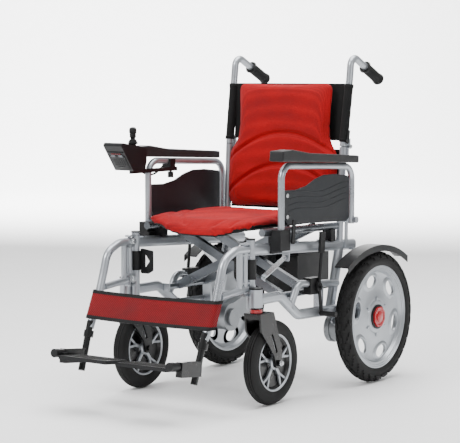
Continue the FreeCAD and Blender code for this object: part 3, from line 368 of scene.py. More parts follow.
def turned(name: str, profile: Sequence[tuple[float, float]], middle: Vector, axis: Vector, steps: int = 64) -> Piece:
    """A lathe-turned piece.

    The profile gives distances along the axis from the middle, and radii, in millimetres.
    It may end on the axis or be closed. The middle is in metres.
    """
    deselect()
    bpy.ops.mesh.primitive_plane_add(size=0.001)
    obj = bpy.context.object
    obj.name = name
    with editing():
        bpy.ops.mesh.select_mode(type="VERT")
        bpy.ops.mesh.merge(type="CENTER")
        points = [Vector((a / 1000, 0, r / 1000)) for a, r in profile]
        bpy.ops.transform.translate(value=points[0])
        for before, after in zip(points, points[1:]):
            bpy.ops.mesh.extrude_vertices_move(TRANSFORM_OT_translate={"value": after - before})
        bpy.ops.mesh.select_all(action="SELECT")
        bpy.ops.mesh.spin(steps=steps, angle=math.tau, center=(0, 0, 0), axis=(1, 0, 0))
        bpy.ops.mesh.select_all(action="SELECT")
        bpy.ops.mesh.remove_doubles(threshold=0.00001)
        bpy.ops.mesh.normals_make_consistent(inside=False)
    turn = X_AXIS.rotation_difference(axis).to_matrix().to_4x4()
    obj.data.transform(Matrix.Translation(middle) @ turn)
    smooth(obj, 32)
    return obj


def bent(name: str, route: Sequence[Vector], radius: float) -> Piece:
    """A round rod along a smooth line: its control points in metres, its radius in millimetres."""
    deselect()
    curve = bpy.data.curves.new(name, "CURVE")
    curve.dimensions = "3D"
    spline = curve.splines.new("NURBS")
    spline.points.add(len(route) - 1)
    for point, place in zip(spline.points, route):
        point.co = (*place, 1)
    spline.order_u = 3
    spline.use_endpoint_u = True
    curve.resolution_u = 8
    curve.bevel_depth = radius / 1000
    curve.bevel_resolution = 3
    curve.use_fill_caps = True
    obj = bpy.data.objects.new(name, curve)
    bpy.context.collection.objects.link(obj)
    pick(obj)
    bpy.ops.object.convert(target="MESH")
    obj = bpy.context.object
    obj.name = name
    smooth(obj, 50)
    return obj


def copied(obj: Piece, name: str, move: Matrix) -> Piece:
    """A copy with its own mesh, moved, turned or mirrored."""
    made = obj.copy()
    made.data = obj.data.copy()
    made.name = name
    bpy.context.collection.objects.link(made)
    made.data.transform(move)
    if move.determinant() < 0:
        made.data.flip_normals()
    return made


def mirrored(obj: Piece, name: str) -> Piece:
    """The same piece for the other side of the chair."""
    return copied(obj, name, Matrix.Diagonal((-1, 1, 1, 1)))


def joined(name: str, parts: Sequence[Piece]) -> Piece:
    """Join several meshes into one piece."""
    pick(parts[0])
    for part in parts[1:]:
        part.select_set(True)
    bpy.ops.object.join()
    bpy.context.object.name = name
    return bpy.context.object


def ringed(obj: Piece, count: int, middle: Vector, name: str) -> Piece:
    """Repeat a piece round an axis that runs along X through the middle, and join the copies."""
    parts = [obj]
    for index in range(1, count):
        turn = Matrix.Rotation(math.tau * index / count, 4, "X")
        parts.append(copied(obj, f"{name}.{index}", Matrix.Translation(middle) @ turn @ Matrix.Translation(-middle)))
    return joined(name, parts)


def dress(obj: Piece, finish: Finish, body: str, slot: str, *nodes: str) -> Piece:
    """Give a piece its finish, the body it rides on, and the solids it stands for. The slot is not used."""
    if not obj.data.materials:
        obj.data.materials.append(finish.make())
    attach(obj, body)
    if nodes:
        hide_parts(*nodes)
    LOG.info("%s rides %s, %d faces", obj.name, body, len(obj.data.polygons))
    return obj


def both(obj: Piece, stem: str, finish: Finish, body: str, slot: str, solid: str = "") -> list[Piece]:
    """Dress a left piece and its mirror image. Every name is given without the side."""
    obj.name = f"{stem}_left"
    right = mirrored(obj, f"{stem}_right")
    made = []
    for piece, side in ((obj, "left"), (right, "right")):
        solids = [f"{solid}_{side}"] if solid else []
        made.append(dress(piece, finish, f"{body}_{side}", slot, *solids))
    return made


# ------------------------------------------------------------------ rear wheels
@dataclass
class RearWheels:
    """Block-tread tyres on six-window alloy rims with red eight-sided caps."""

    centre_x: float = 285
    radius: float = 205
    tyre_half: float = 27
    tread: float = 3.6
    block_turn: float = 3
    block_lean: float = 12
    block_rows: int = 6
    window_orbit: float = 116
    window_radius: float = 18

    def middle(self) -> Vector:
        """The wheel's centre on the left side."""
        return at(self.centre_x, 0, self.radius)

    def build_tyre(self) -> Piece:
        """A round carcass with stepped chevron blocks raised from it."""
        deselect()
        middle, ring = self.middle(), (self.radius - self.tyre_half - self.tread / 2) / 1000
        bpy.ops.mesh.primitive_torus_add(
            major_segments=120, minor_segments=30, major_radius=ring,
            minor_radius=(self.tyre_half - self.tread / 2) / 1000,
        )
        obj = bpy.context.object
        obj.data.transform(Matrix.Translation(middle) @ Matrix.Rotation(math.pi / 2, 4, "Y"))

        def is_block(centre: Vector, normal: Vector) -> bool:
            """Whether a face lies on a tread block."""
            rel = centre - middle
            phi = math.degrees(math.atan2(rel.x, math.hypot(rel.y, rel.z) - ring))
            step = int((math.degrees(math.atan2(rel.z, rel.y)) + 180) / self.block_turn)
            row = int(abs(phi) / self.block_lean)
            if row >= self.block_rows:
                return False
            shoulder = row == self.block_rows - 1 and step % 4 < 2
            return (step + row + (2 if phi < 0 else 0)) % 4 < 2 and row != 1 or shoulder

        mark(obj, is_block)
        raise_faces(self.tread / 1000)
        smooth(obj, 28)
        return obj

    def build_rim(self) -> Piece:
        """A spun rim with stepped rings, six lipped windows and ribs round the hub."""
        middle = self.middle()
        profile = [
            (20, 162), (20.2, 157), (17.5, 155.5), (17.5, 152), (15, 150.5), (15, 147), (16.5, 146), (16.5, 143.5),
            (12, 141), (7.2, 138), (5.6, 132), (5, 116), (5.4, 90), (7, 66), (8.6, 60), (8.6, 54), (12, 50), (13, 44),
            (13, 20), (-22, 20), (-22, 34), (-8, 42), (1, 58), (1, 136), (-4, 144), (-16, 150), (-18, 156),
            (-18, 162), (20, 162),
        ]
        edge = [(1, 17.4), (8.2, 17.4), (9.2, 18.4), (9.4, 21), (8, 24.5), (4.8, 28), (1, 28), (1, 17.4)]
        rim = turned("rim", profile, middle, X_AXIS, 128)
        stretch = Matrix.Diagonal((1, 1.05, 1.6, 1))
        lips = []
        for index in range(6):
            angle = math.radians(45 + 60 * index)
            place = middle + Vector((0, math.cos(angle), math.sin(angle))) * self.window_orbit / 1000
            petal = Matrix.Translation(place) @ Matrix.Rotation(angle, 4, "X") @ stretch
            deselect()
            bpy.ops.mesh.primitive_cylinder_add(vertices=40, radius=self.window_radius / 1000, depth=0.06)
            cutter = bpy.context.object
            cutter.data.transform(petal @ Matrix.Rotation(math.pi / 2, 4, "Y"))
            apply_modifier(rim, "BOOLEAN", operation="DIFFERENCE", object=cutter, solver="EXACT")
            bpy.data.objects.remove(cutter)
            lip = turned(f"lip.{index}", edge, place, X_AXIS, 40)
            lip.data.transform(petal @ Matrix.Rotation(-angle, 4, "X") @ Matrix.Translation(-place))
            lips.append(lip)
        rib = block("rib", middle + Vector((0.0085, 0, 0.052)), (7, 6, 22), 1.2)
        ribs = ringed(rib, 6, middle, "ribs")
        obj = joined("rear_rim", [rim, *lips, ribs])
        smooth(obj, 30)
        return obj

    def build_cap(self) -> list[Piece]:
        """A black collar and the red eight-sided cap with a raised middle."""
        middle = self.middle()
        collar = turned("collar", [(13, 20), (13, 38), (16, 38.5), (17, 36), (17, 20), (13, 20)], middle, X_AXIS, 48)
        deselect()
        bpy.ops.mesh.primitive_cylinder_add(vertices=8, radius=0.0335, depth=0.007)
        cap = bpy.context.object
        place = Matrix.Translation(middle + Vector((0.0195, 0, 0)))
        cap.data.transform(place @ Matrix.Rotation(math.pi / 2, 4, "Y") @ Matrix.Rotation(math.pi / 8, 4, "Z"))
        mark(cap, lambda centre, normal: normal.x > 0.9)
        with editing():
            bpy.ops.mesh.inset(thickness=0.006)
            bpy.ops.mesh.extrude_region_move(TRANSFORM_OT_translate={"value": (-0.002, 0, 0)})
            bpy.ops.mesh.inset(thickness=0.009)
            bpy.ops.mesh.extrude_region_move(TRANSFORM_OT_translate={"value": (0.003, 0, 0)})
        apply_modifier(cap, "BEVEL", width=0.0012, segments=2, limit_method="ANGLE")
        smooth(cap, 35)
        return [collar, cap]

    def dress(self) -> None:
        """Build and dress both wheels."""
        both(self.build_tyre(), "rear_tyre", RUBBER, "wheel", "tyre_rubber", "wheel_tyre")
        both(self.build_rim(), "rear_rim", RIM_ALLOY, "wheel", "rim_silver", "wheel_rim")
        collar, cap = self.build_cap()
        both(collar, "hub_collar", NYLON, "wheel", "black_plastic")
        both(cap, "red_hub_cap", RED_CAP, "wheel", "cap_red", "hub_cap")


# ------------------------------------------------------------------ castors
@dataclass
class Castors:
    """Grooved tyres, black rims with a bright ring and five forked spokes."""

    centre_x: float = 240
    centre_y: float = -510
    radius: float = 124.5
    crown: float = 42
    stem_y: float = -585

    def middle(self) -> Vector:
        """The castor's centre on the left side."""
        return at(self.centre_x, self.centre_y, self.radius)

    def build_tyre(self) -> Piece:
        """A tyre with four grooves round its tread."""
        side = [(17, 86), (19.4, 92), (20, 100), (19.4, 108), (17.8, 114), (15.2, 118.6)]
        tread = []
        for groove in (13, 6.5, -0.0, -6.5):
            height = self.radius - groove * groove / self.crown
            tread += [
                (groove, height), (groove - 1.4, height + 0.1), (groove - 1.7, height - 2.4),
                (groove - 3.1, height - 2.4), (groove - 3.4, self.radius - (groove - 3.4) ** 2 / self.crown),
            ]
        profile = side + tread + [(-a, r) for a, r in reversed(side)] + [(17, 86)]
        return turned("castor_tyre", profile, self.middle(), X_AXIS, 96)

    def build_rim(self) -> Piece:
        """The black dished rim."""
        half = [(16, 88), (16.4, 84), (14, 82), (11, 76), (5, 72), (4, 60), (4, 24), (8, 20), (17, 18), (17, 7)]
        profile = half + [(-a, r) for a, r in reversed(half)] + [half[0]]
        return turned("castor_rim", profile, self.middle(), X_AXIS, 80)

    def build_bright(self) -> Piece:
        """The machined ring and the forked spokes, on both faces."""
        middle = self.middle()
        ring = ((15.6, 84.5), (17.2, 84), (17.2, 80), (14.6, 78), (13.6, 80), (15.6, 84.5))
        boss = ((9, 8), (17.6, 8), (18.4, 10), (18.4, 17), (15, 21), (9, 22), (9, 8))
        parts = []
        for face in (1, -1):
            parts.append(turned("ring", [(face * a, r) for a, r in ring], middle, X_AXIS, 80))
            stem = block("spoke", middle + Vector((face * 0.0085, 0, 0.034)), (9, 12, 32), 2)
            arms = []
            for lean in (-1, 1):
                turn = Matrix.Rotation(-lean * math.radians(22), 4, "X")
                place = middle + Vector((face * 0.0095, lean * 0.0085, 0.0625))
                arms.append(block("arm", place, (8, 7.5, 36), 1.6, turn))
            spoke = joined("spoke", [stem, *arms])
            parts.append(ringed(spoke, 5, middle, "spokes"))
            parts.append(turned("boss", [(face * a, r) for a, r in boss], middle, X_AXIS, 40))
        obj = joined("castor_bright", parts)
        outward(obj)
        smooth(obj, 35)
        return obj

    def dress(self) -> None:
        """Build and dress both castors, and the red ring under each stem housing."""
        both(self.build_tyre(), "castor_tyre_grooved", RUBBER, "castor_wheel", "tyre_rubber", "castor_tyre")
        both(self.build_rim(), "castor_rim_black", FORK, "castor_wheel", "rim_silver", "castor_rim")
        both(self.build_bright(), "castor_spokes", RIM_ALLOY, "castor_wheel", "rim_silver")
        ring = [(0, 13.1), (0, 17), (1.5, 18), (9.5, 18), (11, 17), (11, 13.1), (0, 13.1)]
        collar = turned("collar", ring, at(self.centre_x, self.stem_y, 277.5), Z_AXIS, 40)
        both(collar, "red_stem_ring", RED_CAP, "castor", "cap_red")
        head = [(0, 0), (0, 9.5), (2, 10), (5, 9), (6, 6), (8.5, 5.5), (9, 0)]
        nut = turned("nut", head, self.middle() + Vector((0.0345, 0, 0)), X_AXIS, 6)
        both(nut, "castor_axle_nut", ZINC, "castor", "bright_metal")


# ------------------------------------------------------------------ upholstery
@dataclass
class Upholstery:
    """Red knitted cushions on black nylon slings."""

    # Heights and half widths of the back cushion's outline.
    OUTLINE = (
        (536, 158), (545, 186), (563, 197), (613, 202), (680, 204), (707, 203), (725, 197),
        (741, 185), (766, 175), (800, 171), (880, 172), (922, 171), (931, 165), (936, 152),
    )
    # The top of each sewn arc, and how fast it drops to the sides.
    ARCS = ((778, 0.00195), (679, 0.0021))
    split_z: float = 738
    seat_half: float = 196
    cap_move: float = 7

    def puff(self, obj: Piece, limit: float) -> None:
        """Swell a closed cover with a short cloth run, by no more than the limit in millimetres."""
        apply_modifier(obj, "REMESH", mode="VOXEL", voxel_size=0.0055)
        start = [vertex.co.copy() for vertex in obj.data.vertices]
        pick(obj)
        cloth = obj.modifiers.new("fill", "CLOTH")
        cloth.settings.use_pressure = True
        cloth.settings.uniform_pressure_force = 3.0
        cloth.settings.quality = 4
        cloth.settings.effector_weights.gravity = 0
        cloth.collision_settings.use_collision = False
        scene = bpy.context.scene
        for moment in range(1, 15):
            scene.frame_set(moment)
        bpy.ops.object.modifier_apply(modifier=cloth.name)
        scene.frame_set(1)
        most = limit / 1000
        for vertex, first in zip(obj.data.vertices, start):
            moved = vertex.co - first
            if moved.length > most:
                vertex.co = first + moved.normalized() * most
        obj.data.update()
        apply_modifier(obj, "SMOOTH", factor=0.5, iterations=3)

    def back_half_width(self, z: float) -> float:
        """Half the back cushion's width at a height, in millimetres."""
        for (z0, w0), (z1, w1) in zip(self.OUTLINE, self.OUTLINE[1:]):
            if z <= z1:
                share = max(0.0, (z - z0) / (z1 - z0))
                return w0 + (w1 - w0) * share
        return self.OUTLINE[-1][1]

    def back_y(self, z: float) -> float:
        """Where the leaning plane of the back lies at a height, in millimetres."""
        return -84 + (z - 540) * 0.073

    def arc_depth(self, x: float, z: float) -> float:
        """How deep the sewn channels of the back cushion are at a place, in millimetres."""
        depth = 0.0
        for peak, drop in self.ARCS:
            line = peak - drop * (x - 15) ** 2
            depth = max(depth, 6.5 * math.exp(-(((z - line) / 7.0) ** 2)))
        return depth

    def build_back(self) -> list[Piece]:
        """One tall cushion, waisted above the hinge line, sewn in arcs and cut at the hinge."""
        obj = fine_cube(63)

        def shape(p: Vector) -> Vector:
            """Lay the cube's points on the cushion."""
            z = 737 + 199 * p.z
            half = self.back_half_width(z)
            rim = min(half * (1 - abs(p.x)), 199 * (1 - abs(p.z)) * 1.2)
            full = 0.42 + 0.58 * (1 - max(0.0, 1 - rim / 46) ** 2.2)
            side = 1 + 0.035 * (1 - p.y * p.y) * (1 if abs(p.x) > 0.995 else 0)
            y = self.back_y(z) - 17 + 14.5 * p.y * full
            return at(p.x * half * side, y - (2.5 if p.y < 0 else 0) * (1 - (p.x * 0.9) ** 2), z)

        move_points(obj, shape)
        self.puff(obj, self.cap_move)

        def sew(p: Vector) -> Vector:
            """Press the sewn channels in from the front."""
            x, z = p.x * 1000, p.z * 1000
            front = (self.back_y(z) - 22) / 1000 + AXLE_Y
            if p.y < front:
                p.y += self.arc_depth(x, z) / 1000 * min(1.0, (front - p.y) / 0.006)
            return p

        apply_modifier(obj, "SUBSURF", levels=1, render_levels=1)
        move_points(obj, sew)
        halves = []
        for name, keep_upper in (("back_cushion_upper", True), ("back_cushion_lower", False)):
            half = copied(obj, name, Matrix())
            pick(half)
            with editing():
                bpy.ops.mesh.select_all(action="SELECT")
                bpy.ops.mesh.bisect(
                    plane_co=at(0, 0, self.split_z), plane_no=Z_AXIS, use_fill=True,
                    clear_inner=keep_upper, clear_outer=not keep_upper,
                )
            smooth(half, 60)
            halves.append(half)
        bpy.data.objects.remove(obj)
        return halves

    def build_seat(self) -> Piece:
        """The seat cushion with a dished top and a front edge that rolls down."""
        obj = fine_cube(55)

        def shape(p: Vector) -> Vector:
            """Lay the cube's points on the cushion."""
            run = (p.y + 1) / 2
            rim = min(1 - abs(p.x), run * 1.6 + 0.12, (1 - run) * 2)
            full = 0.5 + 0.5 * (1 - max(0.0, 1 - rim / 0.16) ** 2.2)
            dish = -9 * (1 - p.x * p.x) * min(1.0, (1 - run) + 0.35)
            thick = 11.5 * full
            corner = max(0.0, 0.22 - run) / 0.22
            half = self.seat_half - 20 * (1 - math.sqrt(max(0.0, 1 - corner * corner)))
            if run > 0.1:
                y = -532 + (run - 0.1) / 0.9 * 389
                mid = 525 + (5 if abs(p.x) > 0.8 else 0) * (abs(p.x) - 0.8) * 3
                return at(p.x * half, y, mid + dish + thick * p.z)
            turn = (0.1 - run) / 0.1 * math.pi / 2
            drop = (max(0.0, turn - 1.0) / 0.57 * 15 + 14 * math.sin(turn)) * (1 - 0.9 * abs(p.x) ** 2.4)
            y = -532 - math.sin(turn) * (4 + thick * 0.5 * (p.z + 1)) + 16 * abs(p.x) ** 3 * math.sin(turn)
            z = 525 + dish + math.cos(turn) * thick * p.z - math.sin(turn) * 7 - drop
            return at(p.x * half, y, z)

        move_points(obj, shape)
        self.puff(obj, self.cap_move)
        apply_modifier(obj, "SUBSURF", levels=1, render_levels=1)

        def sew(p: Vector) -> Vector:
            """Press in two bowed channels that run from the sides to the front edge."""
            x, y, z = p.x * 1000, (p.y - AXLE_Y) * 1000, p.z * 1000
            for start in (-12, -92):
                away = (y + 548 - start - 0.0073 * x * x) / math.hypot(1, 0.0146 * x)
                top = min(1.0, max(0.0, (z - 512) / 8))
                p.z -= 0.004 * top * math.exp(-((away / 6.0) ** 2))
            return p

        move_points(obj, sew)
        obj.name = "seat_cushion_cover"
        smooth(obj, 60)
        return obj

    def sling(self, name: str, width: float, low: Vector, high: Vector, sag: float, across: Vector) -> Piece:
        """A panel with a hem, 2 mm thick, stretched between two edges given by their middles.

        Its width and its sag along the direction across are in millimetres.
        """
        deselect()
        bpy.ops.mesh.primitive_grid_add(x_subdivisions=40, y_subdivisions=20, size=2)
        obj = bpy.context.object
        obj.name = name
        length = (high - low).length

        def shape(p: Vector) -> Vector:
            """Lay the grid between the edges."""
            middle = low.lerp(high, (p.y + 1) / 2)
            return middle + Vector((p.x * width / 2000, 0, 0)) + across * (sag / 1000 * (1 - p.x * p.x))

        move_points(obj, shape)
        apply_modifier(obj, "SOLIDIFY", thickness=0.002, offset=0)
        hem = 0.012

        def in_hem(centre: Vector, normal: Vector) -> bool:
            """Whether a face lies in the hem along any of the four edges."""
            ends = (centre - low).dot((high - low) / length), (centre - high).dot((low - high) / length)
            return abs(abs(centre.x) - width / 2000) < hem or min(ends) < hem

        mark(obj, in_hem)
        raise_faces(0.0007)
        outward(obj)
        smooth(obj, 40)
        return obj

    def dress(self) -> None:
        """Build and dress the cushions, slings and sleeves."""
        upper, lower = self.build_back()
        dress(upper, RED_KNIT, "back_left", "seat_fabric", "back_upper")
        dress(lower, RED_KNIT, "left_frame", "seat_fabric", "back_lower")
        seat = dress(self.build_seat(), RED_KNIT, "seat", "seat_fabric", "seat_cushion")
        for piece in (upper, lower, seat):
            piece.data.materials.append(BLACK_CLOTH.make())
            for face in piece.data.polygons:
                rear = AXLE_Y + (self.back_y(face.center.z * 1000) - 4) / 1000
                face.material_index = int(face.normal.z < -0.35 if piece is seat else face.center.y > rear)
        for piece in (upper, lower):
            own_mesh(piece)
        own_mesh(seat)
        panels = (
            ("back_sling_upper", 412, at(0, -61, 756), at(0, -47, 932), 12, "back_left", 0.176),
            ("back_sling_lower", 406, at(0, -83, 536), at(0, -68, 728), 8, "left_frame", 0.192),
        )
        for name, width, low, high, sag, body, tall in panels:
            panel = self.sling(name, width, low, high, sag, Vector((0, 1, 0)))
            dress(panel, BLACK_CLOTH, body, "seat_fabric")
            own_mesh(panel)
        sling = self.sling("seat_sling", 398, at(0, -524, 512), at(0, -142, 512), 2, Vector((0, 0, -1)))
        dress(sling, BLACK_CLOTH, "seat", "seat_fabric")
        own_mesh(sling)
        low, high = at(216.2, -75, 752), at(218.8, -48.2, 930)
        length = (high - low).length * 1000
        hem = [(0, 11.4), (0, 14.2), (1, 14.8), (9, 14.8), (10, 13.7)]
        body = [(length * s / 12, 13.5 + 0.35 * math.sin(s * 2.4)) for s in range(2, 11)]
        top = [(length - 10, 13.7), (length - 9, 14.8), (length - 1, 14.8), (length, 14.2), (length, 11.4), (0, 11.4)]
        sleeve = turned("sleeve", hem + body + top, low, high - low, 40)
        both(sleeve, "cane_sleeve", BLACK_CLOTH, "back", "seat_fabric")


# ------------------------------------------------------------------ legrests
@dataclass
class Legrests:
    """Red calf strap with black bindings, ribbed footplates and hanger bolts."""

    half: float = 224
    height: float = 86
    lean: float = 24
    middle_z: float = 289
    binding: float = 9

    def build_strap(self) -> Piece:
        """The band, bowed a little between the hanger tubes, with bindings along its edges."""
        deselect()
        bpy.ops.mesh.primitive_grid_add(x_subdivisions=72, y_subdivisions=18, size=2)
        obj = bpy.context.object
        tilt = math.radians(self.lean)

        def shape(p: Vector) -> Vector:
            """Lay the grid along the band, with its ends turned back round the tubes."""
            run = p.x * 1.11
            edge = max(0.0, abs(run) - 1.0)
            wrap = 3.0 * math.sin(min(1.0, edge * 20) * 1.57)
            x = math.copysign(min(abs(run), 1.0), run) * self.half + math.copysign(wrap, run)
            full = 1 - run * run if abs(run) < 1 else 0
            bow = -3 + 7 * full - edge * 230
            wave = 1.2 * math.sin(run * 9) * (1 - abs(p.y))
            high = p.y * self.height / 2
            y = -778 - bow + wave - high * math.sin(-tilt)
            return at(x, y, self.middle_z + high * math.cos(tilt) - 2 * full)

        move_points(obj, shape)
        apply_modifier(obj, "SOLIDIFY", thickness=0.0026, offset=0)
        obj.data.materials.append(RED_TWILL.make())
        obj.data.materials.append(BINDING.make())
        inner = (self.height / 2 - self.binding) * math.cos(tilt) / 1000
        mark(obj, lambda centre, normal: abs(centre.z - self.middle_z / 1000) > inner)
        for face in obj.data.polygons:
            face.material_index = int(face.select)
        raise_faces(0.0008)
        obj.name = "calf_band"
        outward(obj)
        smooth(obj, 40)
        return obj

    def dress(self) -> None:
        """Build and dress the legrests' pieces."""
        strap = dress(self.build_strap(), RED_TWILL, "leg_right", "strap_fabric", "calf_strap")
        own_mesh(strap)
        tilt = Matrix.Rotation(math.radians(-6), 4, "X")
        plate = Matrix.Translation(at(106, -903, 152.5)) @ tilt
        ribs = []
        for index in range(8):
            rib = block(f"rib.{index}", Vector(), (160, 5, 2.4), 0.8)
            rib.data.transform(plate @ Matrix.Translation((0, (-38 + index * 11) / 1000, 0.0055)))
            ribs.append(rib)
        both(joined("ribs", ribs), "tread_ribs", RUBBER, "plate", "guard_plastic")
        head = [(0, 0), (0, 13), (2, 13.5), (2.5, 9), (9, 9), (10.5, 7), (11, 0)]
        bolts = [turned("bolt", head, at(200, -603, z), Vector((-1, 0, 0)), 20) for z in (461, 350)]
        both(joined("bolts", bolts), "hanger_bolts", ZINC, "leg", "bright_metal")


# ------------------------------------------------------------------ armrests
@dataclass
class Armrests:
    """Softly edged pads, grooved panels and their screws."""

    def build_pad(self) -> Piece:
        """The pad with rounded edges, shaped from its solid."""
        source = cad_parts["arm_pad_left"]
        obj = copied(source, "pad", Matrix())
        outward(obj)
        apply_modifier(obj, "REMESH", mode="VOXEL", voxel_size=0.0026)
        apply_modifier(obj, "SMOOTH", factor=0.6, iterations=9)
        obj.data.materials.clear()
        smooth(obj, 60)
        return obj

    def build_waves(self) -> Piece:
        """Four raised wavy beads across the panel's outer face."""
        beads = []
        for index in range(4):
            route = []
            for step in range(13):
                y = -428 + step * 27
                wave = 7 * math.sin(step * 0.62 + 0.4 + index * 0.12)
                route.append(at(248.4, y, 558 + index * 17 + wave + step * 1.4))
            beads.append(bent(f"bead.{index}", route, 0.7))
        return joined("waves", beads)

    def dress(self) -> None:
        """Build and dress both armrests' pieces."""
        for pad in both(self.build_pad(), "arm_pad_skin", FOAM_SKIN, "arm", "arm_foam", "arm_pad"):
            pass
        both(self.build_waves(), "panel_waves", PANEL, "arm", "panel_plastic")
        head = [(0, 0), (0, 6.5), (1.4, 6.2), (2.4, 4.6), (2.4, 2.2), (1.2, 2.0), (1.2, 0)]
        screws = [turned("screw", head, at(248, -436, z), X_AXIS, 20) for z in (545, 608)]
        both(joined("screws", screws), "panel_screws", SCREW, "arm", "bright_metal")


# ------------------------------------------------------------------ push handles
@dataclass
class Handles:
    """Ribbed grips and the hinge bolts of the folding canes."""

    def build_grip(self) -> Piece:
        """A ribbed sleeve with a flange in front and a bulged end."""
        low, high = at(218, 46, 984.4), at(218, 137, 941.6)
        profile = [(0, 11.5), (0, 19), (2.5, 20), (5, 19), (7, 15)]
        for index in range(11):
            start = 9 + index * 6.6
            profile += [(start, 16.6), (start + 4, 16.6), (start + 4.8, 15), (start + 5.8, 15)]
        profile += [(83, 16.6), (86, 18.4), (93, 18.8), (98, 16), (100.4, 8), (100.6, 0)]
        return turned("grip", profile, low, high - low, 40)

    def dress(self) -> None:
        """Build and dress both handles."""
        both(self.build_grip(), "ribbed_grip", GRIP, "back", "grip_rubber", "push_grip")
        head = [(0, 0), (0, 8), (1.5, 8.5), (2, 6), (6, 6), (7, 4), (7, 0)]
        bolt = turned("bolt", head, at(230.5, -61, 738), X_AXIS, 6)
        both(bolt, "hinge_bolt", ZINC, "back", "bright_metal")


# ------------------------------------------------------------------ controller
@dataclass
class Controller:
    """Joystick with a bellows boot, and the case's grille and indicator lights."""

    centre_x: float = -240
    centre_y: float = -548
    base_z: float = 747

    def dress(self) -> None:
        """Build and dress the controller's pieces."""
        profile = [
            (-16, 0), (-16, 9.5), (3, 10.5), (5, 14.5), (7, 16), (8.5, 15.4), (9.5, 12.5), (11, 14), (12.5, 13.4),
            (13.5, 10.5), (15, 12), (17, 11), (18, 8.5), (20, 7), (22, 7), (24, 9), (27, 10.4), (30, 9.2), (32, 10.6),
            (35, 9.4), (37, 10.8), (41, 11.6), (47, 11.6), (52, 10), (55, 6), (56, 0),
        ]
        stick = turned("joystick_boot", profile, at(self.centre_x, self.centre_y, self.base_z), Z_AXIS, 48)
        dress(stick, GRIP, "stick", "black_plastic", "joystick")
        out, down = Vector((0, -0.8028, -0.5962)), Vector((0, 0.5962, -0.8028))
        face = Matrix.Rotation(math.radians(-53.4), 3, "X")
        start = at(self.centre_x, -624.5, 718.4)
        parts = []
        for row in range(4):
            for column in range(-2, 3):
                if abs(column) + row < 5:
                    place = start + Vector((column * 0.0085, 0, 0)) + down * (0.016 + row * 0.008) + out * 0.0016
                    parts.append(block("slot", place, (6.4, 3.2, 2.2), 0.7, face))
        rim = block("rim", start + down * 0.026 + out * 0.001, (58, 52, 1.6), 0.7, face)
        band = block("band", start - down * 0.013 + out * 0.0014, (60, 3.4, 2.4), 0.9, face)
        dress(joined("controller_grille", [*parts, rim, band]), NYLON, "arm_right", "case_plastic")
        lamps = []
        for index in range(5):
            place = start + Vector(((index - 2) * 0.0075, 0, 0)) - down * 0.0075 + out * 0.0012
            lamps.append(block("lamp", place, (4, 2.4, 1.6), 0.5, face))
        dress(joined("charge_lamps", lamps), RED_CAP, "arm_right", "button_plastic")


# ------------------------------------------------------------------ frame
@dataclass
class Frame:
    """Finishes of the solids that show as they are."""

    def dress(self) -> None:
        """Give every remaining solid its finish."""
        finishes = {
            "side_frame": SILVER_PAINT, "arm_tube": SILVER_PAINT, "cane_upper": SILVER_PAINT, "hanger": SILVER_PAINT,
            "frame_fittings": NYLON, "drive_motor": MOTOR, "mudguard": GUARD, "arm_socket": NYLON, "castor_fork": FORK,
            "brake_lever": NYLON, "fold_link": ZINC, "side_panel": PANEL, "leg_tube": FORK, "release_plate": NYLON,
            "plate_pin": NYLON, "footplate": GUARD, "brace_arm": BRACE, "battery_case": BATTERY, "battery_tray": FORK,
            "controller_case": CASE, "controller_cable": GRIP, "power_button": BUTTON, "horn_button": BUTTON,
            "back_release_lever": NYLON,
        }
        for name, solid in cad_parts.items():
            for stem, finish in finishes.items():
                if name.startswith(stem):
                    material = finish.make()
                    if not solid.data.materials:
                        solid.data.materials.append(material)
                    for index in range(len(solid.data.materials)):
                        solid.data.materials[index] = material
                    LOG.info("%s is %s", name, finish.name)


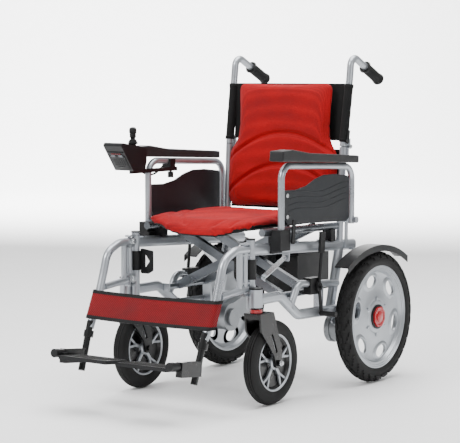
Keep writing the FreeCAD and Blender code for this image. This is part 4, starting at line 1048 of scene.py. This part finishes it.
# ------------------------------------------------------------------ studio
@dataclass
class Studio:
    """Pale floor, soft lights and the camera."""

    eye: Triple = (3082.58, -4707.34, 972.07)
    azimuth: float = 35.45
    elevation: float = 4.91
    lens: float = 137.3
    floor_bend: float = 10
    floor_rise: float = 14

    def build_floor(self) -> None:
        """A wide floor that bends up far behind the chair."""
        deselect()
        bpy.ops.mesh.primitive_plane_add(size=30, rotation=(0, 0, math.radians(self.azimuth)))
        floor = bpy.context.object
        floor.name = "studio_floor"
        turn = math.radians(self.azimuth)
        ahead = Vector((-math.sin(turn), math.cos(turn), 0))
        with editing():
            bpy.ops.mesh.select_all(action="DESELECT")
        bpy.ops.object.transform_apply(location=True, rotation=True, scale=True)
        for edge in floor.data.edges:
            places = [floor.data.vertices[v].co for v in edge.vertices]
            edge.select = all(place.dot(ahead) > self.floor_bend for place in places)
            for index in edge.vertices:
                vertex = floor.data.vertices[index]
                vertex.select = vertex.co.dot(ahead) > self.floor_bend
        with editing():
            bpy.ops.mesh.extrude_edges_move(TRANSFORM_OT_translate={"value": (0, 0, self.floor_rise)})
        apply_modifier(floor, "BEVEL", width=6, segments=24, limit_method="ANGLE")
        smooth(floor, 60)
        floor.data.materials.append(FLOOR.make())

    def light(self, name: str, place: Triple, aim: Triple, size: float, power: float) -> None:
        """Hang one soft square lamp, with its places and side in metres and its power in watts."""
        deselect()
        bpy.ops.object.light_add(type="AREA", location=place)
        lamp = bpy.context.object
        lamp.name = name
        lamp.data.size = size
        lamp.data.energy = power
        lamp.rotation_mode = "QUATERNION"
        lamp.rotation_quaternion = (Vector(aim) - Vector(place)).to_track_quat("-Z", "Y")

    def build(self) -> None:
        """Set the camera, the lamps and the sky."""
        self.build_floor()
        deselect()
        bpy.ops.object.camera_add(location=at(*self.eye))
        camera = bpy.context.object
        camera.name = "camera"
        a, e = math.radians(self.azimuth), math.radians(self.elevation)
        back = Vector((math.sin(a) * math.cos(e), -math.cos(a) * math.cos(e), math.sin(e)))
        camera.rotation_mode = "QUATERNION"
        camera.rotation_quaternion = (-back).to_track_quat("-Z", "Y")
        camera.data.lens = self.lens
        camera.data.sensor_width = 36
        camera.data.clip_start, camera.data.clip_end = 0.1, 100
        bpy.context.scene.camera = camera
        self.light("key", (-0.8, -3.4, 3.4), (0, 0, 0.5), 1.8, 150)
        self.light("side", (3.6, -0.6, 1.9), (0, 0, 0.5), 1.2, 22)
        self.light("top", (0, 0.4, 4.4), (0, 0, 0.3), 4.0, 330)
        self.light("backdrop", (-5.0, 5.0, 5.0), (-8.0, 11.0, 1.5), 6.0, 3200)
        world = bpy.data.worlds.new("sky")
        bpy.context.scene.world = world
        world.use_nodes = True
        sky = world.node_tree.nodes["Background"]
        sky.inputs["Color"].default_value = linear("#FFFFFF")
        sky.inputs["Strength"].default_value = 0.55


def main() -> None:
    """Build every sub-assembly in order."""
    logging.basicConfig(level=logging.INFO, format="%(message)s")
    Studio().build()
    for part in (RearWheels(), Castors(), Upholstery(), Legrests(), Armrests(), Handles(), Controller(), Frame()):
        part.dress()
        LOG.info("%s is done", type(part).__name__)
    deselect()


if __name__ == "__main__":
    main()
